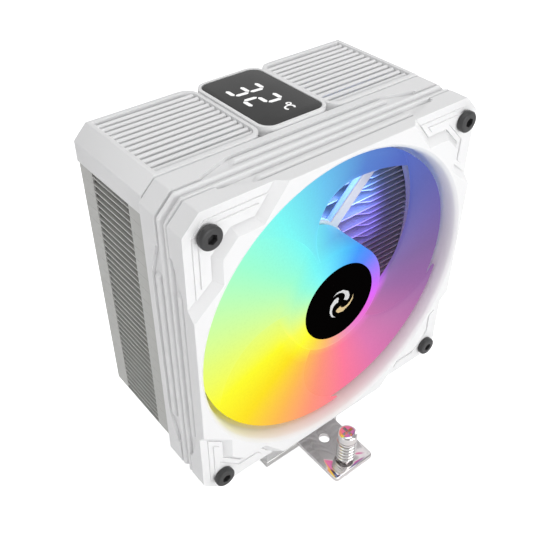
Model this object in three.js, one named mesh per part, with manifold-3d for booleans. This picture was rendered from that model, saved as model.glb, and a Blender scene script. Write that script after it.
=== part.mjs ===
// Single-tower CPU air cooler with one 120 mm fan and a temperature display in its top cover.
//
// Frame: millimetres, +Z up. The origin is the centre of the cold plate's bottom face, which rests
// on the processor. The fan blows along +Y, so the fan's front face looks towards -Y.

import * as THREE from 'three';
import { mergeVertices } from 'three/addons/utils/BufferGeometryUtils.js';
import Module from 'manifold-3d';

const wasm = await Module();
wasm.setup();

// ---------------------------------------------------------------- driving dimensions

const gap = 0.3;                 // clearance between pieces that touch on the real cooler

// fan
const fanSize = 120;             // square outline
const fanDepth = 23;             // rear plane to the corner faces
const ringRise = 2;              // front ring stands this far in front of the corner faces
const cornerCut = 6.15;          // 45 degree cut on the outline's corners
const holeInset = 7.5;           // corner bolts to the outline's two nearest edges
const ductRadius = 57;
const tipClearance = 1.8;        // blade tip to duct
const hubRadius = 20.6;
const badgeRadius = 15.3;
const hubWall = 1.7;
const bladeCount = 5;
const bladeThickness = 1.2;
const strutWidth = 5;
const motorPlateThickness = 3;
const fanBottomZ = 33.2;         // lower edge, clear of the heat pipes' bends
const fanRearY = -12.5;

// side ribs of the fan frame, as distances from the corner faces
const ribGrooves = [[8.3, 9.0], [10.6, 12.0], [14.0, 14.6]];
const ribDepth = 1.0;

// fin tower
const towerHalfWidth = 58;
const towerDepth = 40.6;
const towerBottomZ = 41.2;
const finPairs = 19;
const finPitch = 2.64;
const finThickness = 0.5;
const flangeThickness = 0.5;
const frontFlangeLength = 10;    // folded side flange behind the fan
const rearFlangeLength = 8;
const kinkInner = 31.2;          // every second fin steps back in the middle of its front edge
const kinkOuter = 36.5;
const kinkDepth = 3;

// heat pipes
const pipeRadius = 3;
const pipePitch = 8;             // across the base, along Y
const pipeCount = 4;
const innerLegX = 31;
const outerLegX = 43;
const bendRadius = 11;
const pipeTipRise = 5;           // above the top fin

// base
const plateSize = 40;
const plateThickness = 3;
const blockTopZ = 14.7;

// mounting bar and its spring screws
const barWidth = 20;
const barThickness = 2;
const barHalfLength = 51.3;
const barCornerRadius = 1.6;
const screwY = 45.5;
const spareHoleY = 33;
const spareHoleRadius = 2.2;
const barScrewY = 12;
const barScrewShank = 1.25;
const barScrewHoleRadius = barScrewShank + gap;
const barScrewHeadRadius = 2.8;
const barScrewHeadHeight = 1.5;
const shankRadius = 2;
const screwHoleRadius = 2.6;
const screwHeadRadius = 4;
const screwHeadHeight = 4.1;
const screwHeadTopZ = 33;
const screwTipZ = 6;
const springWire = 1.0;
const springCoils = 5;
const washerThickness = 0.6;

// top cover
const coverHalfWidth = 58.6;
const coverHeight = 12.1;
const coverCut = 4.87;           // 45 degree cut along the cover's long top edges
const coverWall = 1.6;
const padRise = 3;               // grille fields stand this far above the cover's middle
const padInnerX = 14.2;
const padCorner = 5;
const windowInnerX = 15.5;
const windowOuterX = 52.2;
const windowRim = 1.7;
const grilleBars = 12;
const grillePitch = 3;
const barTopWidth = 1.7;

// display
const bezelHalfWidth = 13.85;
const bezelCorner = 5.4;
const bezelRim = 1.15;
const bezelProud = 0.5;          // above the grille fields
const glassThickness = 1.5;
const boardThickness = 1.2;

// corner bolts
const boltHeadRadius = 3.8;
const boltHeadHeight = 2.4;
const boltShankRadius = 2;
const boltSocketAcross = 4;
const bossDepth = 5;

// ---------------------------------------------------------------- places that follow from them

const fanCentreZ = fanBottomZ + fanSize / 2;
const fanFrontY = fanRearY - fanDepth;
const ringFaceY = fanFrontY - ringRise;
const towerFrontY = fanRearY + gap;
const towerRearY = towerFrontY + towerDepth;
const towerTopZ = towerBottomZ + 2 * finPairs * finPitch;
const coverTopZ = towerTopZ + coverHeight;
const bladeTipRadius = ductRadius - tipClearance;
const boltOffset = fanSize / 2 - holeInset;
const lowerBoltZ = fanCentreZ - boltOffset;
const upperBoltZ = fanCentreZ + boltOffset;
const boltHoleRadius = boltShankRadius + gap;
const barBottomZ = blockTopZ + gap;
const barTopZ = barBottomZ + barThickness;
const pipeBaseZ = plateThickness + gap + pipeRadius;
const towerMidY = (towerFrontY + towerRearY) / 2;
const pipeTopZ = towerTopZ + pipeTipRise;
const motorPlateY = fanRearY - motorPlateThickness;

// ---------------------------------------------------------------- geometry helpers

// A closed three.js geometry as a solid that can be joined and cut.
function toSolid(geometry) {
  const bare = geometry.clone();
  bare.deleteAttribute('normal');
  bare.deleteAttribute('uv');
  const merged = mergeVertices(bare, 1e-4);
  const index = merged.index.array;
  const kept = [];
  for (let i = 0; i < index.length; i += 3) {
    const [a, b, c] = [index[i], index[i + 1], index[i + 2]];
    if (a !== b && b !== c && c !== a) kept.push(a, b, c);
  }
  const mesh = new wasm.Mesh({
    numProp: 3,
    vertProperties: new Float32Array(merged.attributes.position.array),
    triVerts: new Uint32Array(kept),
  });
  return new wasm.Manifold(mesh);
}

function toGeometry(solid) {
  const mesh = solid.getMesh();
  const geometry = new THREE.BufferGeometry();
  geometry.setAttribute('position', new THREE.BufferAttribute(new Float32Array(mesh.vertProperties), 3));
  geometry.setIndex(new THREE.BufferAttribute(new Uint32Array(mesh.triVerts), 1));
  geometry.computeVertexNormals();
  return geometry;
}

// A box given by its lowest and highest corners.
function box(low, high) {
  const size = high.map((value, i) => value - low[i]);
  const geometry = new THREE.BoxGeometry(size[0], size[1], size[2]);
  geometry.translate(low[0] + size[0] / 2, low[1] + size[1] / 2, low[2] + size[2] / 2);
  return toSolid(geometry);
}

// A shape drawn in (x, y), standing from z0 to z1.
function prismZ(shape, z0, z1, arcSteps = 4) {
  const geometry = new THREE.ExtrudeGeometry(shape, {
    depth: z1 - z0, bevelEnabled: false, curveSegments: arcSteps,
  });
  geometry.translate(0, 0, z0);
  return toSolid(geometry);
}

// A shape drawn in (x, z), running from y0 to y1.
function prismY(shape, y0, y1, arcSteps = 4) {
  const geometry = new THREE.ExtrudeGeometry(shape, {
    depth: y1 - y0, bevelEnabled: false, curveSegments: arcSteps,
  });
  geometry.rotateX(Math.PI / 2);
  geometry.translate(0, y1, 0);
  return toSolid(geometry);
}

function polygon(points) {
  return new THREE.Shape(points.map(([x, y]) => new THREE.Vector2(x, y)));
}

function rectangle(x0, y0, x1, y1) {
  return polygon([[x0, y0], [x1, y0], [x1, y1], [x0, y1]]);
}

// A rectangle whose corners are round where the matching radius is above zero:
// low-left, low-right, high-right, high-left.
function roundedRectangle(x0, y0, x1, y1, radii) {
  const [a, b, c, d] = radii;
  const shape = new THREE.Shape();
  shape.moveTo(x0 + a, y0);
  shape.lineTo(x1 - b, y0);
  if (b > 0) shape.absarc(x1 - b, y0 + b, b, -Math.PI / 2, 0, false);
  shape.lineTo(x1, y1 - c);
  if (c > 0) shape.absarc(x1 - c, y1 - c, c, 0, Math.PI / 2, false);
  shape.lineTo(x0 + d, y1);
  if (d > 0) shape.absarc(x0 + d, y1 - d, d, Math.PI / 2, Math.PI, false);
  shape.lineTo(x0, y0 + a);
  if (a > 0) shape.absarc(x0 + a, y0 + a, a, Math.PI, 1.5 * Math.PI, false);
  return shape;
}

// A regular polygon that stays outside a circle of the given radius.
function ngonAround(x, y, radius, sides) {
  const outer = radius / Math.cos(Math.PI / sides);
  const points = [];
  for (let i = 0; i < sides; i += 1) {
    const angle = (2 * Math.PI * (i + 0.5)) / sides;
    points.push([x + outer * Math.cos(angle), y + outer * Math.sin(angle)]);
  }
  return polygon(points);
}

// A regular polygon whose corners lie on a circle of the given radius.
function ngonInside(x, y, radius, sides) {
  return ngonAround(x, y, radius * Math.cos(Math.PI / sides), sides);
}

// A turned piece: a closed profile of [radius, height] points spun round its own axis,
// which lies along Y through (0, z).
function turnedY(profile, z = fanCentreZ, sides = 24) {
  let area = 0;
  profile.forEach(([r0, h0], i) => {
    const [r1, h1] = profile[(i + 1) % profile.length];
    area += r0 * h1 - r1 * h0;
  });
  const ordered = area > 0 ? profile : [...profile].reverse();
  const closed = [...ordered, ordered[0]].map(([r, h]) => new THREE.Vector2(r, h));
  const geometry = new THREE.LatheGeometry(closed, sides);
  geometry.translate(0, 0, z);
  return toSolid(geometry);
}

// A ring of rectangular section round an upright axis at (x, y).
function ringZ(x, y, innerRadius, outerRadius, z0, z1, sides = 16) {
  const shape = ngonInside(x, y, outerRadius, sides);
  shape.holes.push(ngonAround(x, y, innerRadius, sides));
  return prismZ(shape, z0, z1);
}

// A round rod, spring wire or pipe along a curve, closed at both ends.
function rodAlong(curve, radius, sides, steps) {
  const section = ngonInside(0, 0, radius, sides);
  return new THREE.ExtrudeGeometry(section, { steps, bevelEnabled: false, extrudePath: curve });
}

const cooler = new THREE.Group();
cooler.name = 'cpu_tower_cooler';

const finishes = {
  whitePlastic: { color: 0xf4f5f6, roughness: 0.45, metalness: 0 },
  whiteCoating: { color: 0xe9e9e6, roughness: 0.5, metalness: 0.1 },
  blackPlastic: { color: 0x101012, roughness: 0.35, metalness: 0 },
  blackSteel: { color: 0x2b2b2d, roughness: 0.5, metalness: 0.6 },
  milkyPlastic: { color: 0x9fe3f5, roughness: 0.3, metalness: 0 },
  smokedGlass: { color: 0x3a3a3c, roughness: 0.12, metalness: 0 },
  nickel: { color: 0xc9c8c6, roughness: 0.18, metalness: 1 },
  copper: { color: 0xc77a52, roughness: 0.3, metalness: 1 },
  steel: { color: 0xa8aaad, roughness: 0.35, metalness: 1 },
  ferrite: { color: 0x2c2a29, roughness: 0.8, metalness: 0.2 },
  bronze: { color: 0xa8824c, roughness: 0.4, metalness: 1 },
  greenBoard: { color: 0x1f5a3a, roughness: 0.6, metalness: 0 },
};

function place(name, solidOrGeometry, finish, parent = cooler) {
  const geometry = solidOrGeometry.isBufferGeometry ? solidOrGeometry : toGeometry(solidOrGeometry);
  const mesh = new THREE.Mesh(geometry, new THREE.MeshStandardMaterial(finishes[finish]));
  mesh.name = name;
  parent.add(mesh);
  return mesh;
}

// ---------------------------------------------------------------- base: cold plate, block

place('cold_plate', box(
  [-plateSize / 2, -plateSize / 2, 0],
  [plateSize / 2, plateSize / 2, plateThickness],
), 'copper');

const pipeYs = [];
for (let i = 0; i < pipeCount; i += 1) pipeYs.push((i - (pipeCount - 1) / 2) * pipePitch);

function baseBlock() {
  let block = box(
    [-plateSize / 2, -plateSize / 2, plateThickness + gap],
    [plateSize / 2, plateSize / 2, blockTopZ],
  );
  pipeYs.forEach((y) => {
    const channel = new THREE.ExtrudeGeometry(ngonAround(0, 0, pipeRadius + gap, 8), {
      depth: plateSize + 2, bevelEnabled: false,
    });
    channel.rotateY(Math.PI / 2);
    channel.translate(-plateSize / 2 - 1, y, pipeBaseZ);
    block = block.subtract(toSolid(channel));
  });
  [-barScrewY, barScrewY].forEach((y) => {
    const hole = ngonAround(0, y, barScrewHoleRadius, 8);
    block = block.subtract(prismZ(hole, blockTopZ - 4, blockTopZ + 1));
  });
  return block;
}
place('base_block', baseBlock(), 'nickel');

// ---------------------------------------------------------------- heat pipes

// Each pipe is a U: along X through the base, up round a bend, then leaning back to the middle
// of the fin tower, which stands behind the fan.
const towerPipeYs = pipeYs.map((y) => y + towerMidY);
const legXs = pipeYs.map((y, i) => (i % 2 === 0 ? outerLegX : innerLegX));

function pipeCurve(baseY, towerY, legX) {
  const path = new THREE.CurvePath();
  const bendTopZ = pipeBaseZ + bendRadius;
  const straightFrom = towerBottomZ - 4;
  const half = (side) => ({
    tip: new THREE.Vector3(side * legX, towerY, pipeTopZ),
    legFoot: new THREE.Vector3(side * legX, towerY, straightFrom),
    lean: new THREE.Vector3(side * legX, towerY, straightFrom - 7),
    leanLow: new THREE.Vector3(side * legX, baseY, bendTopZ + 6),
    bendTop: new THREE.Vector3(side * legX, baseY, bendTopZ),
    corner: new THREE.Vector3(side * legX, baseY, pipeBaseZ),
    bendEnd: new THREE.Vector3(side * (legX - bendRadius), baseY, pipeBaseZ),
  });
  const left = half(-1);
  const right = half(1);
  path.add(new THREE.LineCurve3(left.tip, left.legFoot));
  path.add(new THREE.CubicBezierCurve3(left.legFoot, left.lean, left.leanLow, left.bendTop));
  path.add(new THREE.QuadraticBezierCurve3(left.bendTop, left.corner, left.bendEnd));
  path.add(new THREE.LineCurve3(left.bendEnd, right.bendEnd));
  path.add(new THREE.QuadraticBezierCurve3(right.bendEnd, right.corner, right.bendTop));
  path.add(new THREE.CubicBezierCurve3(right.bendTop, right.leanLow, right.lean, right.legFoot));
  path.add(new THREE.LineCurve3(right.legFoot, right.tip));
  return path;
}

// Sections of a pipe at chosen points of its route, joined into one closed tube.
function pipeGeometry(curve, sides = 8) {
  const stepsPerPiece = [1, 5, 5, 1, 5, 5, 1];
  const centres = [];
  const tangents = [];
  curve.curves.forEach((piece, i) => {
    for (let s = i === 0 ? 0 : 1; s <= stepsPerPiece[i]; s += 1) {
      const t = s / stepsPerPiece[i];
      centres.push(piece.getPoint(t));
      tangents.push(piece.getTangent(t));
    }
  });
  const positions = [];
  centres.forEach((centre, i) => {
    const across = new THREE.Vector3(0, 1, 0);
    across.addScaledVector(tangents[i], -across.dot(tangents[i])).normalize();
    const other = new THREE.Vector3().crossVectors(tangents[i], across);
    for (let k = 0; k < sides; k += 1) {
      const angle = (2 * Math.PI * (k + 0.5)) / sides;
      const point = centre.clone()
        .addScaledVector(across, pipeRadius * Math.cos(angle))
        .addScaledVector(other, pipeRadius * Math.sin(angle));
      positions.push(point.x, point.y, point.z);
    }
  });
  const index = [];
  for (let i = 0; i + 1 < centres.length; i += 1) {
    for (let k = 0; k < sides; k += 1) {
      const a = i * sides + k;
      const b = i * sides + ((k + 1) % sides);
      index.push(a, b, b + sides, a, b + sides, a + sides);
    }
  }
  const last = (centres.length - 1) * sides;
  for (let k = 1; k + 1 < sides; k += 1) {
    index.push(0, k + 1, k, last, last + k, last + k + 1);
  }
  const geometry = new THREE.BufferGeometry();
  geometry.setAttribute('position', new THREE.Float32BufferAttribute(positions, 3));
  geometry.setIndex(index);
  geometry.computeVertexNormals();
  return geometry;
}

pipeYs.forEach((y, i) => {
  place(`heat_pipe_${i + 1}`, pipeGeometry(pipeCurve(y, towerPipeYs[i], legXs[i])), 'nickel');
});

// ---------------------------------------------------------------- fin tower

// Two fins joined by their folded side flanges. The upper fin's front edge steps back in the
// middle, the lower one's is straight. Pairs that stand beside the lugs or bosses that take the
// fan bolts leave room for them.
const lugInnerX = boltOffset - 3.9;
const lugOuterX = boltOffset + 3.9;
const lugTopZ = Math.max(towerBottomZ + 4.4, lowerBoltZ + 3);
const bossBottomZ = Math.min(towerTopZ, upperBoltZ - 4);

function finShape(stepsBack, hasLugRoom) {
  const front = towerFrontY;
  const frontRun = [];
  if (stepsBack) {
    frontRun.push([-kinkOuter, front], [-kinkInner, front + kinkDepth]);
    frontRun.push([kinkInner, front + kinkDepth], [kinkOuter, front]);
  }
  const room = front + bossDepth + 2 * gap;
  const corner = hasLugRoom && lugInnerX - gap < towerHalfWidth
    ? [[lugInnerX - gap, front], [lugInnerX - gap, room], [towerHalfWidth, room]]
    : [[towerHalfWidth, front]];
  const right = [...corner, [towerHalfWidth, towerRearY]];
  const left = right.map(([x, y]) => [-x, y]).reverse();
  return polygon([...frontRun, ...right, ...left]);
}

function finPair(hasLugRoom) {
  const z = towerBottomZ;
  const flangeTop = z + 2 * finPitch - gap;
  let pair = prismZ(finShape(false, hasLugRoom), z, z + finThickness);
  pair = pair.add(prismZ(finShape(true, hasLugRoom), z + finPitch, z + finPitch + finThickness));
  [-1, 1].forEach((side) => {
    const x0 = side < 0 ? -towerHalfWidth : towerHalfWidth - flangeThickness;
    const flange = (y0, y1) => box([x0, y0, z], [x0 + flangeThickness, y1, flangeTop]);
    pair = pair.add(flange(towerFrontY, towerFrontY + frontFlangeLength));
    pair = pair.add(flange(towerRearY - rearFlangeLength, towerRearY));
  });
  const half = pipeRadius + gap;
  towerPipeYs.forEach((y, i) => {
    [-legXs[i], legXs[i]].forEach((x) => {
      pair = pair.subtract(box([x - half, y - half, z - 1], [x + half, y + half, flangeTop + 1]));
    });
  });
  return pair;
}

const pairWithRoom = finPair(true);
const fullPair = finPair(false);
for (let number = 1; number <= finPairs; number += 1) {
  const name = `fin_pair_${String(number).padStart(2, '0')}`;
  const rise = (number - 1) * 2 * finPitch;
  const besideLug = towerBottomZ + rise < lugTopZ + gap;
  const besideBoss = towerBottomZ + rise + 2 * finPitch - gap > bossBottomZ;
  const pair = place(name, besideLug || besideBoss ? pairWithRoom : fullPair, 'whiteCoating');
  pair.position.z = rise;
}

// ---------------------------------------------------------------- mounting bar and spring screws

function mountingBar() {
  const r = barCornerRadius;
  const shape = roundedRectangle(-barWidth / 2, -barHalfLength, barWidth / 2, barHalfLength, [r, r, r, r]);
  let bar = prismZ(shape, barBottomZ, barTopZ, 3);
  const drill = (y, radius, sides) => {
    bar = bar.subtract(prismZ(ngonAround(0, y, radius, sides), barBottomZ - 1, barTopZ + 1));
  };
  [-1, 1].forEach((side) => {
    drill(side * screwY, screwHoleRadius, 16);
    drill(side * spareHoleY, spareHoleRadius, 12);
    drill(side * barScrewY, barScrewHoleRadius, 8);
  });
  return bar;
}
place('mounting_bar', mountingBar(), 'nickel');

// A crosshead screw: a round head with a crossed recess, and a plain shank.
function crossheadScrew(x, y, headRadius, headBottomZ, headTopZ, shank, tipZ, slot) {
  let screw = prismZ(ngonInside(x, y, headRadius, 16), headBottomZ, headTopZ);
  screw = screw.add(prismZ(ngonInside(x, y, shank, 8), tipZ, headBottomZ + 0.1));
  const long = headRadius * 0.62;
  const floor = headTopZ - slot * 1.8;
  const cross = box([x - long, y - slot / 2, floor], [x + long, y + slot / 2, headTopZ + 1])
    .add(box([x - slot / 2, y - long, floor], [x + slot / 2, y + long, headTopZ + 1]));
  return screw.subtract(cross);
}

[['front', -barScrewY], ['rear', barScrewY]].forEach(([end, y]) => {
  const headZ = barTopZ + gap;
  place(`bar_screw_${end}`, crossheadScrew(0, y, barScrewHeadRadius, headZ,
    headZ + barScrewHeadHeight, barScrewShank, blockTopZ - 3.6, 0.7), 'steel');
});

const headBottomZ = screwHeadTopZ - screwHeadHeight;
const washerBottomZ = headBottomZ - gap - washerThickness;

class Helix extends THREE.Curve {
  constructor(y, radius, z0, z1, turns) {
    super();
    Object.assign(this, { y, radius, z0, z1, turns });
  }

  getPoint(t, target = new THREE.Vector3()) {
    const angle = 2 * Math.PI * this.turns * t;
    return target.set(
      this.radius * Math.cos(angle),
      this.y + this.radius * Math.sin(angle),
      this.z0 + (this.z1 - this.z0) * t,
    );
  }
}

function springGeometry(y) {
  const wire = springWire / 2;
  const low = barTopZ + gap + wire;
  const high = washerBottomZ - gap - wire;
  const helix = new Helix(y, screwHeadRadius - wire, low, high, springCoils);
  return rodAlong(helix, wire, 4, springCoils * 10);
}

[['front', -screwY], ['rear', screwY]].forEach(([end, y]) => {
  place(`spring_screw_${end}`, crossheadScrew(0, y, screwHeadRadius, headBottomZ, screwHeadTopZ,
    shankRadius, screwTipZ, 1.1), 'nickel');
  place(`screw_washer_${end}`, ringZ(0, y, shankRadius + gap, screwHeadRadius,
    washerBottomZ, washerBottomZ + washerThickness), 'steel');
  place(`screw_spring_${end}`, springGeometry(y), 'steel');
  place(`retaining_clip_${end}`, ringZ(0, y, shankRadius + 0.1, shankRadius + 1.6,
    barBottomZ - 1, barBottomZ - 0.4, 12), 'steel');
});

// ---------------------------------------------------------------- fan frame

function octagonOutline(half, cut) {
  return [
    [-half + cut, -half], [half - cut, -half], [half, -half + cut], [half, half - cut],
    [half - cut, half], [-half + cut, half], [-half, half - cut], [-half, -half + cut],
  ];
}

// Outline points in the fan's own plane, moved to the fan's centre height.
function atFan(points) {
  return points.map(([x, z]) => [x, z + fanCentreZ]);
}

// The corner fields lie behind the front ring. Their inner edge is a stepped line that is the
// same in all four corners, given here by its distances from the bolt towards the fan's middle.
const fieldSteps = [[24, -8], [16.6, 1], [8, 1], [1, 8], [1, 16.6], [-8, 24]];

function fanFrame() {
  const half = fanSize / 2;
  const fieldEdge = fieldSteps.map(([x, z]) => [boltOffset - x, boltOffset - z]);
  const duct = ngonAround(0, fanCentreZ, ductRadius, 40);
  const outline = polygon(atFan(octagonOutline(half, cornerCut)));
  outline.holes.push(duct);
  let frame = prismY(outline, ringFaceY, fanRearY);

  // corner fields, set back to the corner faces
  [[1, 1], [-1, 1], [-1, -1], [1, -1]].forEach(([sx, sz]) => {
    const field = [...fieldEdge, [half + 1, half + 1]].map(([x, z]) => [sx * x, sz * z]);
    frame = frame.subtract(prismY(polygon(atFan(field)), ringFaceY - 1, fanFrontY));
  });

  // grooves that leave the ribs standing round all sides
  ribGrooves.forEach(([from, to]) => {
    const around = polygon(atFan(octagonOutline(half + 5, cornerCut)));
    const kept = polygon(atFan(octagonOutline(half - ribDepth, cornerCut - ribDepth * 0.59)));
    around.holes.push(kept);
    frame = frame.subtract(prismY(around, fanFrontY + from, fanFrontY + to));
  });

  // motor plate with its bearing tube, and four struts across the outlet
  const plate = turnedY([
    [3.4, motorPlateY - 13.4], [4.7, motorPlateY - 13.4], [4.7, motorPlateY],
    [21.5, motorPlateY], [21.5, fanRearY], [3.4, fanRearY],
  ]);
  frame = frame.add(plate);
  for (let i = 0; i < 4; i += 1) {
    const strut = new THREE.BoxGeometry(ductRadius - 18, motorPlateThickness, strutWidth);
    strut.translate((ductRadius + 22) / 2, motorPlateY + motorPlateThickness / 2, 0);
    strut.rotateY(Math.PI / 4 + (i * Math.PI) / 2);
    strut.translate(0, 0, fanCentreZ);
    frame = frame.add(toSolid(strut));
  }

  // corner bolt holes
  [-boltOffset, boltOffset].forEach((x) => {
    [-boltOffset, boltOffset].forEach((z) => {
      const hole = ngonAround(x, z + fanCentreZ, boltHoleRadius, 10);
      frame = frame.subtract(prismY(hole, ringFaceY - 1, fanRearY + 1));
    });
  });
  return frame;
}
place('fan_frame', fanFrame(), 'whitePlastic');

// ---------------------------------------------------------------- impeller and motor

const hubFrontY = fanFrontY;
const hubRearY = motorPlateY - 1.5;
const badgePocket = 0.6;
const shaftRadius = 1.5;
const bladeFrontY = fanFrontY + 2.2;
const bladeRearY = fanFrontY + 19;

// Angle of a blade's front edge, its spread behind that edge, and its rear edge's place.
// u runs from 0 at the hub to 1 at the tip.
const bladeEdge = (u) => THREE.MathUtils.degToRad(25 + 35 * u ** 1.8);
const bladeSpread = (u) => THREE.MathUtils.degToRad(73 + 7 * u ** 4);
const bladeRear = (u) => bladeRearY - 9.5 * u ** 3;

function bladeGeometry(turn) {
  const along = 5;
  const across = 5;
  const rootRadius = hubRadius - 0.8;
  const rows = [];
  [-0.5, 0.5].forEach((side) => {
    for (let i = 0; i <= along; i += 1) {
      const u = i / along;
      const radius = rootRadius + (bladeTipRadius - rootRadius) * u;
      for (let j = 0; j <= across; j += 1) {
        const v = j / across;
        const angle = turn + bladeEdge(u) - bladeSpread(u) * v;
        const y = bladeFrontY + (bladeRear(u) - bladeFrontY) * v + side * bladeThickness;
        rows.push(radius * Math.cos(angle), y, fanCentreZ + radius * Math.sin(angle));
      }
    }
  });
  const stride = across + 1;
  const layer = (along + 1) * stride;
  const at = (side, i, j) => side * layer + i * stride + j;
  const index = [];
  const quad = (a, b, c, d) => index.push(a, b, c, a, c, d);
  for (let i = 0; i < along; i += 1) {
    for (let j = 0; j < across; j += 1) {
      quad(at(0, i, j), at(0, i, j + 1), at(0, i + 1, j + 1), at(0, i + 1, j));
      quad(at(1, i, j), at(1, i + 1, j), at(1, i + 1, j + 1), at(1, i, j + 1));
    }
  }
  for (let i = 0; i < along; i += 1) {
    quad(at(0, i, 0), at(0, i + 1, 0), at(1, i + 1, 0), at(1, i, 0));
    quad(at(0, i + 1, across), at(0, i, across), at(1, i, across), at(1, i + 1, across));
  }
  for (let j = 0; j < across; j += 1) {
    quad(at(0, 0, j + 1), at(0, 0, j), at(1, 0, j), at(1, 0, j + 1));
    quad(at(0, along, j), at(0, along, j + 1), at(1, along, j + 1), at(1, along, j));
  }
  const geometry = new THREE.BufferGeometry();
  geometry.setAttribute('position', new THREE.Float32BufferAttribute(rows, 3));
  geometry.setIndex(index);
  return geometry;
}

function impeller() {
  const frontWall = 1.5;
  const pocketFloor = hubFrontY + badgePocket;
  const bossRearY = pocketFloor + frontWall + 4;
  let hub = turnedY([
    [0, pocketFloor], [badgeRadius + gap, pocketFloor], [badgeRadius + gap, hubFrontY],
    [hubRadius - 1, hubFrontY], [hubRadius, hubFrontY + 1], [hubRadius, hubRearY],
    [hubRadius - hubWall, hubRearY], [hubRadius - hubWall, pocketFloor + frontWall],
    [3.2, pocketFloor + frontWall], [3.2, bossRearY], [shaftRadius + gap, bossRearY],
    [shaftRadius + gap, pocketFloor + frontWall], [0, pocketFloor + frontWall],
  ], fanCentreZ, 32);
  for (let i = 0; i < bladeCount; i += 1) {
    hub = hub.add(toSolid(bladeGeometry((i * 2 * Math.PI) / bladeCount)).subtract(
      turnedY([[0, bladeFrontY - 5], [hubRadius - 0.9, bladeFrontY - 5],
        [hubRadius - 0.9, bladeRearY + 5], [0, bladeRearY + 5]], fanCentreZ, 32),
    ));
  }
  return hub;
}
place('impeller', impeller(), 'milkyPlastic');

const badgeFrontY = hubFrontY - 0.5;
const badgeBackY = hubFrontY + badgePocket - gap;
place('hub_badge', turnedY([
  [0, badgeFrontY], [badgeRadius - 0.3, badgeFrontY], [badgeRadius, badgeFrontY + 0.3],
  [badgeRadius, badgeBackY], [0, badgeBackY],
], fanCentreZ, 32), 'blackPlastic');

const yokeRadius = hubRadius - hubWall - gap;
const yokeFrontY = hubFrontY + badgePocket + 1.5 + gap;
const yokeRearY = hubRearY - 0.5;
const yokeWall = 0.9;
place('rotor_yoke', turnedY([
  [3.5, yokeFrontY], [yokeRadius, yokeFrontY], [yokeRadius, yokeRearY],
  [yokeRadius - yokeWall, yokeRearY], [yokeRadius - yokeWall, yokeFrontY + yokeWall],
  [3.5, yokeFrontY + yokeWall],
]), 'steel');

const magnetOuter = yokeRadius - yokeWall - gap;
const magnetInner = magnetOuter - 2.2;
place('magnet_ring', turnedY([
  [magnetInner, yokeFrontY + 2.4], [magnetOuter, yokeFrontY + 2.4],
  [magnetOuter, yokeRearY], [magnetInner, yokeRearY],
]), 'ferrite');

const shaftFrontY = hubFrontY + badgePocket + 1.5 + gap;
const shaftRearY = motorPlateY + 0.4;
place('rotor_shaft', turnedY([
  [0, shaftFrontY], [shaftRadius, shaftFrontY], [shaftRadius, shaftRearY], [0, shaftRearY],
], fanCentreZ, 12), 'steel');

const bearingFrontY = motorPlateY - 12.8;
const bearingRearY = motorPlateY - 1.2;
place('sleeve_bearing', turnedY([
  [(shaftRadius + 0.06) / Math.cos(Math.PI / 12), bearingFrontY], [3.1, bearingFrontY],
  [3.1, bearingRearY], [(shaftRadius + 0.06) / Math.cos(Math.PI / 12), bearingRearY],
], fanCentreZ, 12), 'bronze');

place('shaft_clip', turnedY([
  [shaftRadius + 0.15, bearingRearY + gap], [3.0, bearingRearY + gap],
  [3.0, bearingRearY + gap + 0.5], [shaftRadius + 0.15, bearingRearY + gap + 0.5],
], fanCentreZ, 12), 'steel');

// Four-pole core: broad shoes at the rim, narrow necks to the sleeve round the bearing tube.
function statorCore() {
  const poles = 4;
  const rim = magnetInner - 0.6;
  const shoe = rim - 2.2;
  const sleeve = 7.2;
  const points = [];
  for (let i = 0; i < poles; i += 1) {
    const centre = (i * 2 * Math.PI) / poles;
    const put = (radius, offset) => points.push([
      radius * Math.cos(centre + offset), radius * Math.sin(centre + offset),
    ]);
    const neck = 0.24;
    const spread = 0.66;
    put(sleeve, -Math.PI / poles + 0.02);
    put(sleeve, -neck * 1.7);
    put(shoe, -neck);
    put(shoe, -spread);
    put(rim, -spread);
    put(rim, -spread / 2);
    put(rim, 0);
    put(rim, spread / 2);
    put(rim, spread);
    put(shoe, spread);
    put(shoe, neck);
    put(sleeve, neck * 1.7);
  }
  const shape = polygon(atFan(points));
  shape.holes.push(ngonAround(0, fanCentreZ, 4.7 + gap, 16));
  return prismY(shape, motorPlateY - 12.6, motorPlateY - 3.4);
}
place('stator', statorCore(), 'copper');

place('fan_board', turnedY([
  [4.7 + gap, motorPlateY - 1.4], [15.8, motorPlateY - 1.4],
  [15.8, motorPlateY - gap], [4.7 + gap, motorPlateY - gap],
]), 'greenBoard');

// ---------------------------------------------------------------- corner bolts and fan bracket

function cornerBolt(x, z) {
  const headBackY = fanFrontY - gap;
  const headFrontY = headBackY - boltHeadHeight;
  const tipY = towerFrontY + bossDepth - 0.6;
  let bolt = prismY(ngonInside(x, z, boltHeadRadius, 18), headFrontY, headBackY);
  bolt = bolt.add(prismY(ngonInside(x, z, boltShankRadius, 10), headBackY - 0.1, tipY));
  const socket = ngonAround(x, z, boltSocketAcross / 2, 6);
  return bolt.subtract(prismY(socket, headFrontY - 1, headFrontY + 1.6));
}

[['top_left', -1, 1], ['top_right', 1, 1], ['bottom_left', -1, -1], ['bottom_right', 1, -1]]
  .forEach(([name, sx, sz]) => {
    const bolt = cornerBolt(sx * boltOffset, fanCentreZ + sz * boltOffset);
    place(`fan_bolt_${name}`, bolt, 'blackSteel');
  });

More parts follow.
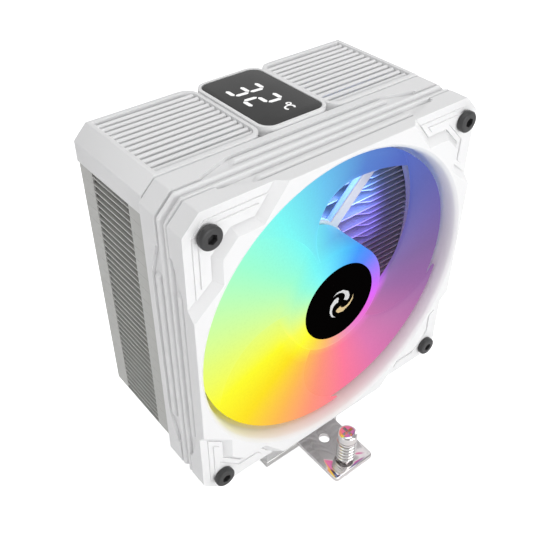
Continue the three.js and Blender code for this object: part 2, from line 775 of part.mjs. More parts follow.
// A strip under the lowest fins, with a lug at each end that takes a lower fan bolt.
function fanBracket() {
  const stripTopZ = towerBottomZ - gap;
  const stripBottomZ = towerBottomZ - 4;
  const rearY = towerFrontY + bossDepth;
  const stripRearY = Math.min(rearY, towerPipeYs[0] - pipeRadius - gap);
  let bracket = box([-lugOuterX, towerFrontY, stripBottomZ], [lugOuterX, stripRearY, stripTopZ]);
  [-1, 1].forEach((side) => {
    const xs = [side * lugInnerX, side * lugOuterX].sort((a, b) => a - b);
    bracket = bracket.add(box([xs[0], towerFrontY, stripBottomZ], [xs[1], rearY, lugTopZ]));
    const hole = ngonAround(side * boltOffset, lowerBoltZ, boltHoleRadius, 10);
    bracket = bracket.subtract(prismY(hole, towerFrontY - 1, rearY + 1));
  });
  return bracket;
}
place('fan_bracket', fanBracket(), 'whitePlastic');

// ---------------------------------------------------------------- top cover, grilles, display

const coverFrontY = towerFrontY;
const coverRearY = towerRearY;
const windowFrontY = coverFrontY + windowRim;
const windowRearY = coverRearY - windowRim;
const middleTopZ = coverTopZ - padRise;

// Outline of the lower middle between the two grille fields. Its sides follow the fields' round
// corners, and run out past the cover's front and rear faces in line with their last facets.
function middleOutline() {
  const steps = 4;
  const corner = [];
  for (let k = 0; k <= steps; k += 1) {
    const angle = (Math.PI / 2) * (k / steps);
    corner.push([padInnerX + padCorner * (1 - Math.cos(angle)), padCorner * (1 - Math.sin(angle))]);
  }
  const [[x0, d0], [x1, d1]] = [corner[steps], corner[steps - 1]];
  corner.push([x0 + (x0 - x1) / 2, d0 + (d0 - d1) / 2]);
  const rightRear = corner.map(([x, inset]) => [x, coverRearY - inset]);
  const rightFront = corner.map(([x, inset]) => [x, coverFrontY + inset]).reverse();
  const right = [...rightFront, ...rightRear];
  const left = right.map(([x, y]) => [-x, y]).reverse();
  return polygon([...right, ...left]);
}

// Outline of a grille window, moved inwards by a clearance. Its corners beside the display are
// round, concentric with the field's own corners.
function windowOutline(side, clearance) {
  const xs = [side * (windowInnerX + clearance), side * (windowOuterX - clearance)].sort((a, b) => a - b);
  const r = padCorner - (windowInnerX - padInnerX) - clearance;
  const radii = side < 0 ? [0, r, r, 0] : [r, 0, 0, r];
  return roundedRectangle(xs[0], windowFrontY + clearance, xs[1], windowRearY - clearance, radii);
}

function coverSection(half, cut, bottomZ, topZ) {
  return polygon([
    [-half, bottomZ], [half, bottomZ], [half, topZ - cut], [half - cut, topZ],
    [-half + cut, topZ], [-half, topZ - cut],
  ]);
}

function topCover() {
  const inset = coverWall * 0.41;
  let cover = prismY(coverSection(coverHalfWidth, coverCut, towerTopZ, coverTopZ), coverFrontY, coverRearY);

  // the middle, where the display sits, is lower than the two fields
  cover = cover.subtract(prismZ(middleOutline(), middleTopZ, coverTopZ + 1));

  // hollow, open below
  const hollow = coverSection(coverHalfWidth - coverWall, coverCut - inset, towerTopZ - 1, middleTopZ - coverWall);
  cover = cover.subtract(prismY(hollow, coverFrontY + coverWall, coverRearY - coverWall));

  // windows for the grilles, and the opening below the display
  [-1, 1].forEach((side) => {
    cover = cover.subtract(prismZ(windowOutline(side, 0), towerTopZ + 1, coverTopZ + 1));
  });
  const opening = rectangle(-bezelHalfWidth + 4, coverFrontY + 5, bezelHalfWidth - 4, coverRearY - 5);
  cover = cover.subtract(prismZ(opening, towerTopZ + 1, coverTopZ + 1));

  // bosses behind the front wall take the upper fan bolts
  [-1, 1].forEach((side) => {
    const bossTopZ = Math.max(upperBoltZ + 3, towerTopZ + 1);
    const boss = (innerX, outerX, bottomZ) => {
      const [x0, x1] = [side * innerX, side * outerX].sort((a, b) => a - b);
      return box([x0, coverFrontY, bottomZ], [x1, coverFrontY + bossDepth, bossTopZ]);
    };
    const outerX = Math.max(lugOuterX, coverHalfWidth - 1);
    cover = cover.add(boss(Math.min(lugInnerX, coverHalfWidth - 3), outerX, towerTopZ));
    cover = cover.add(boss(lugInnerX, lugOuterX, bossBottomZ));
    const hole = ngonAround(side * boltOffset, upperBoltZ, boltHoleRadius, 10);
    cover = cover.subtract(prismY(hole, coverFrontY - 1, coverFrontY + bossDepth + 1));
  });
  return cover;
}
place('top_cover', topCover(), 'whitePlastic');

// Bars along X on two cross rails, dropped into the cover's window.
function grille(side) {
  const x0 = side < 0 ? -windowOuterX + gap : windowInnerX + gap;
  const x1 = side < 0 ? -windowInnerX - gap : windowOuterX - gap;
  const topZ = coverTopZ - 0.4;
  const railBottomZ = middleTopZ - coverWall + 0.4;
  const railTopZ = topZ - 1.6;
  const y0 = windowFrontY + gap;
  const y1 = windowRearY - gap;
  let body = box([x0, y0, railBottomZ], [x0 + 2, y1, railTopZ]);
  body = body.add(box([x1 - 2, y0, railBottomZ], [x1, y1, railTopZ]));
  for (let i = 0; i < grilleBars; i += 1) {
    const y = towerMidY + (i - (grilleBars - 1) / 2) * grillePitch;
    const half = barTopWidth / 2;
    const section = polygon([
      [y - half, railTopZ - 0.6], [y + half, railTopZ - 0.6], [y + half, topZ - 0.5],
      [y + half - 0.5, topZ], [y - half + 0.5, topZ], [y - half, topZ - 0.5],
    ]);
    const bar = new THREE.ExtrudeGeometry(section, { depth: x1 - x0, bevelEnabled: false });
    bar.rotateX(Math.PI / 2);
    bar.rotateZ(Math.PI / 2);
    bar.translate(x0, 0, 0);
    body = body.add(toSolid(bar));
  }
  return body.intersect(prismZ(windowOutline(side, gap), railBottomZ - 1, topZ + 1));
}
place('grille_left', grille(-1), 'whitePlastic');
place('grille_right', grille(1), 'whitePlastic');

const bezelBottomZ = middleTopZ + gap;
const bezelTopZ = coverTopZ + bezelProud;
const glassBottomZ = bezelTopZ - glassThickness;
const bezelFrontY = coverFrontY;
const bezelRearY = coverRearY - 0.2;
const ledge = 2.4;               // bezel edge to the opening below the glass

function bezel() {
  const r = bezelCorner;
  const outline = roundedRectangle(-bezelHalfWidth, bezelFrontY, bezelHalfWidth, bezelRearY, [r, r, r, r]);
  const i = bezelHalfWidth - ledge;
  const s = r - ledge;
  outline.holes.push(roundedRectangle(-i, bezelFrontY + ledge, i, bezelRearY - ledge, [s, s, s, s]));
  const w = bezelHalfWidth - bezelRim;
  const q = r - bezelRim;
  const pocket = roundedRectangle(-w, bezelFrontY + bezelRim, w, bezelRearY - bezelRim, [q, q, q, q]);
  return prismZ(outline, bezelBottomZ, bezelTopZ)
    .subtract(prismZ(pocket, glassBottomZ - gap, bezelTopZ + 1));
}
place('display_bezel', bezel(), 'whitePlastic');

function glass() {
  const edge = bezelRim + gap;
  const w = bezelHalfWidth - edge;
  const r = bezelCorner - edge;
  const pane = roundedRectangle(-w, bezelFrontY + edge, w, bezelRearY - edge, [r, r, r, r]);
  return prismZ(pane, glassBottomZ, bezelTopZ - 0.05);
}
place('display_glass', glass(), 'smokedGlass');

// The circuit board hangs inside the bezel's opening, clear of its round corners.
const boardMargin = ledge + gap + 1;
const boardTopZ = glassBottomZ - 0.5;
place('display_board', box(
  [-bezelHalfWidth + boardMargin, bezelFrontY + boardMargin, boardTopZ - boardThickness],
  [bezelHalfWidth - boardMargin, bezelRearY - boardMargin, boardTopZ],
), 'greenBoard');

export default cooler;
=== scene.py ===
import math

import bmesh
import bpy
from mathutils import Matrix, Vector


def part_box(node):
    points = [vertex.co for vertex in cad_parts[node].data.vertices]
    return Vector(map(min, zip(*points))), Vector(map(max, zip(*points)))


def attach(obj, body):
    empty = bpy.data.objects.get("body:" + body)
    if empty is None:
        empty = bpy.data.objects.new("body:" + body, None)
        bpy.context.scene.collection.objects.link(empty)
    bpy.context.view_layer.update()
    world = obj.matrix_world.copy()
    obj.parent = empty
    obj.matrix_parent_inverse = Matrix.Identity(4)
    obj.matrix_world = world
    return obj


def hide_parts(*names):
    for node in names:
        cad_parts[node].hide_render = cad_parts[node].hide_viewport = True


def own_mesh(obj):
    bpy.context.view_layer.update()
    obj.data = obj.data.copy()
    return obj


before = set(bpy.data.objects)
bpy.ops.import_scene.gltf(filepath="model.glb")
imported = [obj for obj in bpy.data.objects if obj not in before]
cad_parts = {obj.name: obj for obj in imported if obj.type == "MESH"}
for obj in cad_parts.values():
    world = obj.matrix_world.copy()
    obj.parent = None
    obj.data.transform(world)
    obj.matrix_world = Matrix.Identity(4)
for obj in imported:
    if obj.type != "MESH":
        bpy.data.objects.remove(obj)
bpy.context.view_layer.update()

mm = 0.001

# ------------------------------------------------------------------ studio: floor, lights, camera
# A white sweep under soft daylight from large panels, seen from above the fan's left corner.

floor_reach = 3.0
floor_white = (0.93, 0.93, 0.935, 1)


def deselect():
    if bpy.context.object and bpy.context.object.mode != "OBJECT":
        bpy.ops.object.mode_set(mode="OBJECT")
    bpy.ops.object.select_all(action="DESELECT")


def surface(name, colour=(0.8, 0.8, 0.8, 1), roughness=0.5, metallic=0.0):
    made = bpy.data.materials.new(name)
    made.use_nodes = True
    shader = made.node_tree.nodes["Principled BSDF"]
    shader.inputs["Base Color"].default_value = colour
    shader.inputs["Roughness"].default_value = roughness
    shader.inputs["Metallic"].default_value = metallic
    return made, made.node_tree.nodes, made.node_tree.links, shader


# Joins one node's output to another node's input, each given by name or number.
def wire(links, source, output, target, entry):
    links.new(source.outputs[output], target.inputs[entry])


def wear(piece, material):
    piece.data.materials.clear()
    piece.data.materials.append(material)


deselect()
bpy.ops.mesh.primitive_grid_add(x_subdivisions=8, y_subdivisions=8, size=2 * floor_reach,
                                location=(0, 0, -0.0002))
studio_floor = bpy.context.object
studio_floor.name = "studio_floor"
bpy.ops.object.transform_apply(location=True, rotation=True, scale=True)
floor_finish, floor_nodes, floor_links, floor_shader = surface("studio_floor", floor_white, 0.9)
floor_shader.inputs["Specular IOR Level"].default_value = 0.1
floor_shader.inputs["Emission Color"].default_value = (1, 1, 1, 1)
floor_ray = floor_nodes.new("ShaderNodeLightPath")
floor_lift = floor_nodes.new("ShaderNodeMath")
floor_lift.operation = "MULTIPLY"
floor_lift.inputs[1].default_value = 0.62
wire(floor_links, floor_ray, "Is Camera Ray", floor_lift, 0)
wire(floor_links, floor_lift, "Value", floor_shader, "Emission Strength")
wear(studio_floor, floor_finish)

studio_air = bpy.data.worlds.new("studio_air")
studio_air.use_nodes = True
bpy.context.scene.world = studio_air
air_nodes, air_links = studio_air.node_tree.nodes, studio_air.node_tree.links
seen_air = air_nodes.new("ShaderNodeBackground")
seen_air.inputs["Color"].default_value = (1, 1, 1, 1)
lit_air = air_nodes["Background"]
lit_air.inputs["Color"].default_value = (1, 1, 1, 1)
lit_air.inputs["Strength"].default_value = 0.42
ray = air_nodes.new("ShaderNodeLightPath")
air_mix = air_nodes.new("ShaderNodeMixShader")
wire(air_links, ray, "Is Camera Ray", air_mix, "Fac")
wire(air_links, lit_air, "Background", air_mix, 1)
wire(air_links, seen_air, "Background", air_mix, 2)
air_links.new(air_mix.outputs["Shader"], air_nodes["World Output"].inputs["Surface"])


def panel(name, place, aim, size, power, colour=(1, 1, 1)):
    data = bpy.data.lights.new(name, "AREA")
    data.shape = "SQUARE"
    data.size = size
    data.energy = power
    data.color = colour
    lamp = bpy.data.objects.new(name, data)
    bpy.context.scene.collection.objects.link(lamp)
    lamp.location = place
    lamp.rotation_euler = (Vector(aim) - Vector(place)).to_track_quat("-Z", "Y").to_euler()
    return lamp


panel("front_panel", (0.1, -1.3, 0.3), (0, 0, 0.09), 1.1, 13)
panel("top_panel", (0.0, 0.1, 1.5), (0, 0, 0.1), 1.2, 7.5)
panel("right_panel", (1.3, 0.1, 0.6), (0, 0, 0.1), 0.9, 4)
panel("left_panel", (-1.3, 0.0, 0.45), (0, 0, 0.1), 0.9, 2.3)

camera_azimuth = math.radians(-38.43)
camera_height = math.radians(38.58)
camera_roll = math.radians(-0.16)
camera_back = Vector((math.sin(camera_azimuth) * math.cos(camera_height),
                      -math.cos(camera_azimuth) * math.cos(camera_height), math.sin(camera_height)))
camera_right = Vector((math.cos(camera_azimuth), math.sin(camera_azimuth), 0))
camera_up = camera_back.cross(camera_right)
camera_turn = Matrix((camera_right, camera_up, camera_back)).transposed().to_4x4()
camera_data = bpy.data.cameras.new("studio_camera")
camera_data.lens = 50.0
camera_data.sensor_width = 36.0
camera_data.clip_start = 0.01
studio_camera = bpy.data.objects.new("studio_camera", camera_data)
bpy.context.scene.collection.objects.link(studio_camera)
studio_camera.matrix_world = (Matrix.Translation((-0.13950, -0.17074, 0.26260)) @ camera_turn
                              @ Matrix.Rotation(camera_roll, 4, "Z"))
bpy.context.scene.camera = studio_camera
bpy.context.scene.view_settings.view_transform = "Standard"

# ------------------------------------------------------------------ cold plate and base block
# A copper plate, nickel plated and lapped flat, that rests on the processor. The block above it
# is aluminium, milled with four channels for the heat pipes, and takes the mounting bar.


def group(name, inputs, outputs):
    tree = bpy.data.node_groups.new(name, "ShaderNodeTree")
    for label, value in inputs:
        kind = "NodeSocketColor" if isinstance(value, tuple) else "NodeSocketFloat"
        tree.interface.new_socket(name=label, in_out="INPUT", socket_type=kind).default_value = value
    for label, kind in outputs:
        tree.interface.new_socket(name=label, in_out="OUTPUT", socket_type=kind)
    return tree, tree.nodes.new("NodeGroupInput"), tree.nodes.new("NodeGroupOutput")


def node(nodes, kind, **settings):
    made = nodes.new(kind)
    for key, value in settings.items():
        if key.startswith("in_"):
            entry = key[3:]
            made.inputs[int(entry) if entry.isdigit() else entry.replace("_", " ")].default_value = value
        else:
            setattr(made, key, value)
    return made


# Fine moulded or coated grain: a faint cloudiness in the colour, a spread in the gloss, and a
# height for a bump.
grain_tree, grain_in, grain_out = group(
    "fine_grain",
    [("Color", (0.8, 0.8, 0.8, 1)), ("Shade", 0.04), ("Roughness", 0.4), ("Spread", 0.08),
     ("Grain", 3000.0), ("Cloud", 60.0)],
    [("Color", "NodeSocketColor"), ("Roughness", "NodeSocketFloat"), ("Height", "NodeSocketFloat")])
grain_nodes, grain_links = grain_tree.nodes, grain_tree.links
grain_place = node(grain_nodes, "ShaderNodeTexCoord")
grain_fine = node(grain_nodes, "ShaderNodeTexNoise", in_Detail=2.0)
grain_cloud = node(grain_nodes, "ShaderNodeTexNoise", in_Detail=3.0)
for noise, size in ((grain_fine, "Grain"), (grain_cloud, "Cloud")):
    wire(grain_links, grain_place, "Object", noise, "Vector")
    wire(grain_links, grain_in, size, noise, "Scale")
grain_shade = node(grain_nodes, "ShaderNodeMath", operation="MULTIPLY_ADD")
wire(grain_links, grain_cloud, "Fac", grain_shade, 0)
wire(grain_links, grain_in, "Shade", grain_shade, 1)
grain_half = node(grain_nodes, "ShaderNodeMath", operation="MULTIPLY_ADD", in_1=-0.5, in_2=1.0)
wire(grain_links, grain_in, "Shade", grain_half, 0)
wire(grain_links, grain_half, "Value", grain_shade, 2)
grain_tint = node(grain_nodes, "ShaderNodeVectorMath", operation="SCALE")
wire(grain_links, grain_in, "Color", grain_tint, 0)
wire(grain_links, grain_shade, "Value", grain_tint, "Scale")
wire(grain_links, grain_tint, "Vector", grain_out, "Color")
grain_less = node(grain_nodes, "ShaderNodeMath", operation="SUBTRACT", in_1=0.5)
wire(grain_links, grain_fine, "Fac", grain_less, 0)
grain_gloss = node(grain_nodes, "ShaderNodeMath", operation="MULTIPLY_ADD")
wire(grain_links, grain_less, "Value", grain_gloss, 0)
wire(grain_links, grain_in, "Spread", grain_gloss, 1)
wire(grain_links, grain_in, "Roughness", grain_gloss, 2)
wire(grain_links, grain_gloss, "Value", grain_out, "Roughness")
wire(grain_links, grain_fine, "Fac", grain_out, "Height")


def grained(name, colour, shade, roughness, spread, grain, cloud, bump, metallic=0.0, specular=0.5):
    made, nodes, links, shader = surface(name, colour, roughness, metallic)
    shader.inputs["Specular IOR Level"].default_value = specular
    mix = nodes.new("ShaderNodeGroup")
    mix.node_tree = grain_tree
    for label, value in (("Color", colour), ("Shade", shade), ("Roughness", roughness),
                         ("Spread", spread), ("Grain", grain), ("Cloud", cloud)):
        mix.inputs[label].default_value = value
    relief = node(nodes, "ShaderNodeBump", in_Strength=bump, in_Distance=0.00005)
    wire(links, mix, "Color", shader, "Base Color")
    wire(links, mix, "Roughness", shader, "Roughness")
    wire(links, mix, "Height", relief, "Height")
    wire(links, relief, "Normal", shader, "Normal")
    return made


# A brushed metal: long fine scratches along one direction in colour, gloss and height.
def brushed(name, colour, roughness, stretch, bump=0.12, shade=0.25):
    made, nodes, links, shader = surface(name, colour, roughness, 1.0)
    place = node(nodes, "ShaderNodeTexCoord")
    along = node(nodes, "ShaderNodeMapping")
    along.inputs["Scale"].default_value = stretch
    lines = node(nodes, "ShaderNodeTexNoise", in_Scale=900.0, in_Detail=3.0, in_Roughness=0.6)
    wire(links, place, "Object", along, "Vector")
    wire(links, along, "Vector", lines, "Vector")
    tone = node(nodes, "ShaderNodeMapRange", in_3=1 - shade, in_4=1.0)
    wire(links, lines, "Fac", tone, "Value")
    tint = node(nodes, "ShaderNodeVectorMath", operation="SCALE", in_0=colour[:3])
    wire(links, tone, "Result", tint, "Scale")
    wire(links, tint, "Vector", shader, "Base Color")
    gloss = node(nodes, "ShaderNodeMapRange", in_3=roughness * 0.75, in_4=roughness * 1.25)
    wire(links, lines, "Fac", gloss, "Value")
    wire(links, gloss, "Result", shader, "Roughness")
    relief = node(nodes, "ShaderNodeBump", in_Strength=bump, in_Distance=0.00002)
    wire(links, lines, "Fac", relief, "Height")
    wire(links, relief, "Normal", shader, "Normal")
    return made


def pick(piece):
    deselect()
    bpy.context.view_layer.objects.active = piece
    piece.select_set(True)


# Opens the active piece for editing, with all of it selected.
def edit_all():
    bpy.ops.object.mode_set(mode="EDIT")
    bpy.ops.mesh.select_all(action="SELECT")


def ease_edges(piece, width, segments=2, angle=30, smooth=32):
    pick(piece)
    rounding = piece.modifiers.new("eased_edges", "BEVEL")
    rounding.width = width
    rounding.segments = segments
    rounding.limit_method = "ANGLE"
    rounding.angle_limit = math.radians(angle)
    bpy.ops.object.modifier_apply(modifier=rounding.name)
    bpy.ops.object.shade_smooth_by_angle(angle=math.radians(smooth))


# A copy of a fitted part, with its doubled points merged and its flat faces made whole.
def merged_copy(name, part):
    piece = bpy.data.objects.new(name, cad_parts[part].data.copy())
    bpy.context.scene.collection.objects.link(piece)
    pick(piece)
    edit_all()
    bpy.ops.mesh.remove_doubles(threshold=0.000004)
    bpy.ops.mesh.dissolve_limited(angle_limit=math.radians(0.5))
    bpy.ops.object.mode_set(mode="OBJECT")
    return piece


# A merged copy with its sharp edges eased, as tumbling or a mould leaves them.
def eased(name, part, body, ease, segments=2):
    piece = merged_copy(name, part)
    ease_edges(piece, ease, segments, 28)
    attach(piece, body)
    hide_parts(part)
    return piece


lapped_nickel = brushed("lapped_nickel", (0.90, 0.89, 0.88, 1), 0.32, (0.05, 1, 1))
milled_block = brushed("milled_aluminium", (0.93, 0.93, 0.93, 1), 0.45, (1, 0.06, 1))
wear(eased("contact_plate", "cold_plate", "tower", 0.25 * mm), lapped_nickel)
wear(eased("milled_base", "base_block", "tower", 0.3 * mm), milled_block)

# ------------------------------------------------------------------ heat pipes
# Four round 6 mm copper pipes, each bent into a U through the base and up both sides of
# the fins. They are painted white with the fins and end in spun, rounded tips.

pipe_radius = 3.0 * mm
pipe_paint = grained("white_pipe_paint", (0.80, 0.80, 0.81, 1), 0.05, 0.32, 0.1, 2200.0, 50.0, 0.15)


# Turns every face of the piece being edited outward and leaves editing.
def face_out():
    bpy.ops.mesh.select_all(action="SELECT")
    bpy.ops.mesh.normals_make_consistent(inside=False)
    bpy.ops.object.mode_set(mode="OBJECT")


def pipe(number, base_y, tower_y, leg_x):
    base_z, bend, straight_z, tip_z = 6.3 * mm, 11 * mm, 37.2 * mm, 146.52 * mm
    route = []
    for side in (-1, 1):
        half = [(leg_x, tower_y, tip_z - 2 * mm), (leg_x, tower_y, straight_z)]
        foot, lean = Vector((leg_x, tower_y, straight_z)), Vector((leg_x, tower_y, straight_z - 7 * mm))
        low = Vector((leg_x, base_y, base_z + bend + 6 * mm))
        top = Vector((leg_x, base_y, base_z + bend))
        for k in range(1, 13):
            t = k / 12
            half.append(foot * (1 - t) ** 3 + lean * 3 * t * (1 - t) ** 2
                        + low * 3 * t * t * (1 - t) + top * t ** 3)
        corner, end = Vector((leg_x, base_y, base_z)), Vector((leg_x - bend, base_y, base_z))
        for k in range(1, 13):
            t = k / 12
            half.append(top * (1 - t) ** 2 + corner * 2 * t * (1 - t) + end * t * t)
        half = [Vector((side * p[0], p[1], p[2])) for p in half]
        route += half if side < 0 else half[::-1]
    deselect()
    bpy.ops.curve.primitive_nurbs_path_add()
    run = bpy.context.object
    run.data.splines.clear()
    spline = run.data.splines.new("POLY")
    spline.points.add(len(route) - 1)
    for point, place in zip(spline.points, route):
        point.co = (*place, 1)
    run.data.dimensions = "3D"
    run.data.bevel_depth = pipe_radius
    run.data.bevel_resolution = 6
    run.location = (0, 0, 0)
    pick(run)
    bpy.ops.object.convert(target="MESH")
    tube = bpy.context.object
    tube.name = f"bent_pipe_{number}"
    edit_all()
    bpy.ops.mesh.remove_doubles(threshold=0.000002)
    for side in (-1, 1):
        height = tip_z - 2 * mm
        shape = bmesh.from_edit_mesh(tube.data)
        for corner in shape.verts:
            corner.select_set(corner.co.x * side > 0 and corner.co.z > height - 0.01 * mm
                              and corner.is_boundary)
        shape.select_flush(True)
        bmesh.update_edit_mesh(tube.data)
        for rise, share in ((0.9 * mm, 0.93), (0.7 * mm, 0.78), (0.4 * mm, 0.5)):
            height += rise
            bpy.ops.mesh.extrude_region_move(TRANSFORM_OT_translate={"value": (0, 0, rise)})
            bpy.ops.transform.resize(value=(share, share, 1), center_override=(side * leg_x, tower_y, height))
        bpy.ops.mesh.edge_face_add()
        bpy.ops.mesh.select_all(action="DESELECT")
    face_out()
    bpy.ops.object.shade_smooth_by_angle(angle=math.radians(40))
    wear(tube, pipe_paint)
    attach(tube, "tower")
    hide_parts(f"heat_pipe_{number}")


for number, (base_y, leg_x) in enumerate(((-12, 43), (-4, 31), (4, 43), (12, 31)), 1):
    pipe(number, base_y * mm, (base_y + 8.1) * mm, leg_x * mm)

# ------------------------------------------------------------------ fins
# Thin aluminium sheets, punched and folded down at both sides so that each one stands on the
# next, and coated white. Two neighbouring fins are one piece, and 19 such pairs are stacked.

# The coat is a mid grey, darker than the white pipe paint: painted shade for the dim gaps between the stacked
# fins and their folded sides.
fins_painted_shade_coat = grained("fin_paint_with_painted_shade", (0.50, 0.50, 0.48, 1), 0.05, 0.42, 0.1, 2600.0, 40.0, 0.2)
fin_seam = 0.06 * mm
for number in range(1, 20):
    part = f"fin_pair_{number:02d}"
    fins = merged_copy(f"folded_fins_{number:02d}", part)
    bpy.ops.object.mode_set(mode="EDIT")
    bpy.ops.mesh.select_all(action="DESELECT")
    fold_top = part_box(part)[1].z
    shape = bmesh.from_edit_mesh(fins.data)
    for corner in shape.verts:
        corner.select_set(corner.co.z > fold_top - 0.01 * mm)
    shape.select_flush(True)
    bmesh.update_edit_mesh(fins.data)
    bpy.ops.transform.translate(value=(0, 0, 0.3 * mm - fin_seam))
    bpy.ops.object.mode_set(mode="OBJECT")
    wear(fins, fins_painted_shade_coat)
    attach(fins, "tower")
    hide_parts(part)

# ------------------------------------------------------------------ mounting bar
# A bright nickel-plated steel strip, punched from sheet with its edges broken, held on the base
# by two small screws. Its ends carry the sprung screws, with a spare hole beside each.

# The base colour's faint pink tint is a painted reflection of the impeller's pink lower glow; the grey under
# it is the nickel's own.
nickel_painted_pink_reflection = brushed("nickel_painted_pink_reflection", (0.86, 0.83, 0.83, 1), 0.09, (1, 0.04, 1), 0.05, 0.1)
wear(eased("punched_bar", "mounting_bar", "tower", 0.22 * mm), nickel_painted_pink_reflection)
for end in ("front", "rear"):
    wear(eased(f"base_screw_{end}", f"bar_screw_{end}", "tower", 0.12 * mm),
         nickel_painted_pink_reflection)

# ------------------------------------------------------------------ sprung screws
# Crosshead screws in nickel-plated steel. A coil spring under a washer pushes each head up, so
# the screws pull the cooler down with a set force; a clip under the bar keeps them in it.

screw_y = 45.5 * mm
thread_tip_z = 6 * mm
head_radius, head_low_z, head_top_z = 3.9 * mm, 28.9 * mm, 33.0 * mm
shank_radius = 1.9 * mm
wire_radius, coil_radius, coil_turns = 0.62 * mm, 3.3 * mm, 5.5
spring_low_z, spring_high_z = 17.35 * mm, 27.7 * mm
spring_steel = brushed("spring_steel", (0.86, 0.85, 0.84, 1), 0.16, (1, 1, 0.2), 0.08, 0.12)


# Turns a profile of (radius, height) round an upright axis, starting from a flat ring of points.
def turned(name, profile, place, sides=48, axis="Z"):
    deselect()
    bpy.ops.mesh.primitive_circle_add(vertices=sides, radius=profile[0][0], fill_type="NGON",
                                      location=(0, 0, profile[0][1]))
    piece = bpy.context.object
    piece.name = name
    bpy.ops.object.transform_apply(location=True, rotation=True, scale=True)
    edit_all()
    for (radius, height), (last_radius, last_height) in zip(profile[1:], profile):
        bpy.ops.mesh.extrude_region_move(TRANSFORM_OT_translate={"value": (0, 0, height - last_height)})
        share = radius / last_radius
        bpy.ops.transform.resize(value=(share, share, 1), center_override=(0, 0, height))
    face_out()
    if axis == "Y":
        piece.data.transform(Matrix.Rotation(math.radians(90), 4, "X"))
    piece.data.transform(Matrix.Translation(place))
    bpy.ops.object.shade_smooth_by_angle(angle=math.radians(35))
    return piece


def combine(piece, other, how):
    pick(piece)
    act = piece.modifiers.new("combine", "BOOLEAN")
    act.operation = how
    act.solver = "EXACT"
    act.object = other
    bpy.ops.object.modifier_apply(modifier=act.name)
    bpy.data.objects.remove(other, do_unlink=True)


def block(name, low, high):
    deselect()
    middle = [(a + b) / 2 for a, b in zip(low, high)]
    bpy.ops.mesh.primitive_cube_add(size=1, location=middle)
    piece = bpy.context.object
    piece.name = name
    piece.scale = [b - a for a, b in zip(low, high)]
    bpy.ops.object.transform_apply(location=True, rotation=True, scale=True)
    return piece


def thread_profile(radius, low, high, pitch, depth):
    profile, z = [], low
    while z < high:
        profile += [(radius - depth, z), (radius - depth, z + pitch * 0.2), (radius, z + pitch * 0.5),
                    (radius, z + pitch * 0.7)]
        z += pitch
    return profile + [(radius - depth, high)]


for end, y, body in (("front", -screw_y, "front"), ("rear", screw_y, "rear")):
    shank = [(1.3 * mm, thread_tip_z), (1.85 * mm, thread_tip_z + 0.5 * mm)]
    shank += thread_profile(2.0 * mm, thread_tip_z + 0.6 * mm, 13 * mm, 0.7 * mm, 0.25 * mm)
    shank += [(shank_radius, 13.2 * mm), (shank_radius, head_low_z), (head_radius - 0.3 * mm, head_low_z),
              (head_radius, head_low_z + 0.3 * mm), (head_radius, head_top_z - 0.9 * mm),
              (head_radius - 0.25 * mm, head_top_z - 0.45 * mm),
              (head_radius - 0.8 * mm, head_top_z - 0.12 * mm), (head_radius - 1.6 * mm, head_top_z)]
    screw = turned(f"sprung_screw_{end}", shank, (0, y, 0))
    for long, wide in ((2.5 * mm, 0.6 * mm), (0.6 * mm, 2.5 * mm)):
        combine(screw, block("slot", (-long, y - wide, head_top_z - 2.0 * mm),
                             (long, y + wide, head_top_z + 1 * mm)), "DIFFERENCE")
    pick(screw)
    bpy.ops.object.shade_smooth_by_angle(angle=math.radians(35))
    # the screw head's pink tint is a painted reflection, as on the bar
    wear(screw, nickel_painted_pink_reflection)
    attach(screw, f"{body}_screw")
    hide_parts(f"spring_screw_{end}")

    deselect()
    bpy.ops.mesh.primitive_circle_add(vertices=12, radius=wire_radius, fill_type="NOTHING",
                                      rotation=(math.radians(90), 0, 0), location=(coil_radius, 0, 0))
    coil = bpy.context.object
    bpy.ops.object.transform_apply(location=True, rotation=True, scale=True)
    wind = coil.modifiers.new("wound", "SCREW")
    wind.axis = "Z"
    wind.angle = 2 * math.pi
    wind.screw_offset = (spring_high_z - spring_low_z - 2 * wire_radius) / coil_turns
    wind.iterations = int(coil_turns)
    wind.steps = 40
    wind.render_steps = 40
    bpy.ops.object.modifier_apply(modifier=wind.name)
    edit_all()
    bpy.ops.mesh.remove_doubles(threshold=0.000002)
    bpy.ops.mesh.fill_holes(sides=16)
    bpy.ops.mesh.normals_make_consistent(inside=False)
    bpy.ops.object.mode_set(mode="OBJECT")
    reach = max(v.co.z for v in coil.data.vertices) - min(v.co.z for v in coil.data.vertices)
    stretch = (spring_high_z - spring_low_z) / reach
    low = min(v.co.z for v in coil.data.vertices)
    for v in coil.data.vertices:
        v.co.z = spring_low_z + (v.co.z - low) * stretch
        v.co.y += y
    bpy.ops.object.shade_smooth()
    coil.name = f"coil_spring_{end}"
    wear(coil, spring_steel)
    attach(coil, "tower")
    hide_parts(f"screw_spring_{end}")
    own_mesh(coil)

    wear(eased(f"flat_washer_{end}", f"screw_washer_{end}", f"{end}_slider", 0.08 * mm),
         nickel_painted_pink_reflection)
    wear(eased(f"snap_clip_{end}", f"retaining_clip_{end}", f"{end}_screw", 0.06 * mm),
         spring_steel)

# ------------------------------------------------------------------ fan frame
# The fan's housing, one white plastic moulding: a square frame with ribbed sides, a raised ring
# round the inlet, stepped corner fields, and struts that hold the motor plate behind the impeller.

fan_z = 93.2 * mm
corner_face_y, fan_rear_y = -35.5 * mm, -12.5 * mm
frame_half, frame_cut, corner_round = 60 * mm, 6.15 * mm, 1.1 * mm
duct_radius, bolt_offset = 57 * mm, 52.5 * mm
white_plastic = grained("white_moulded_plastic", (0.80, 0.80, 0.805, 1), 0.03, 0.46, 0.1, 2600.0, 30.0, 0.12,
                        specular=0.35)


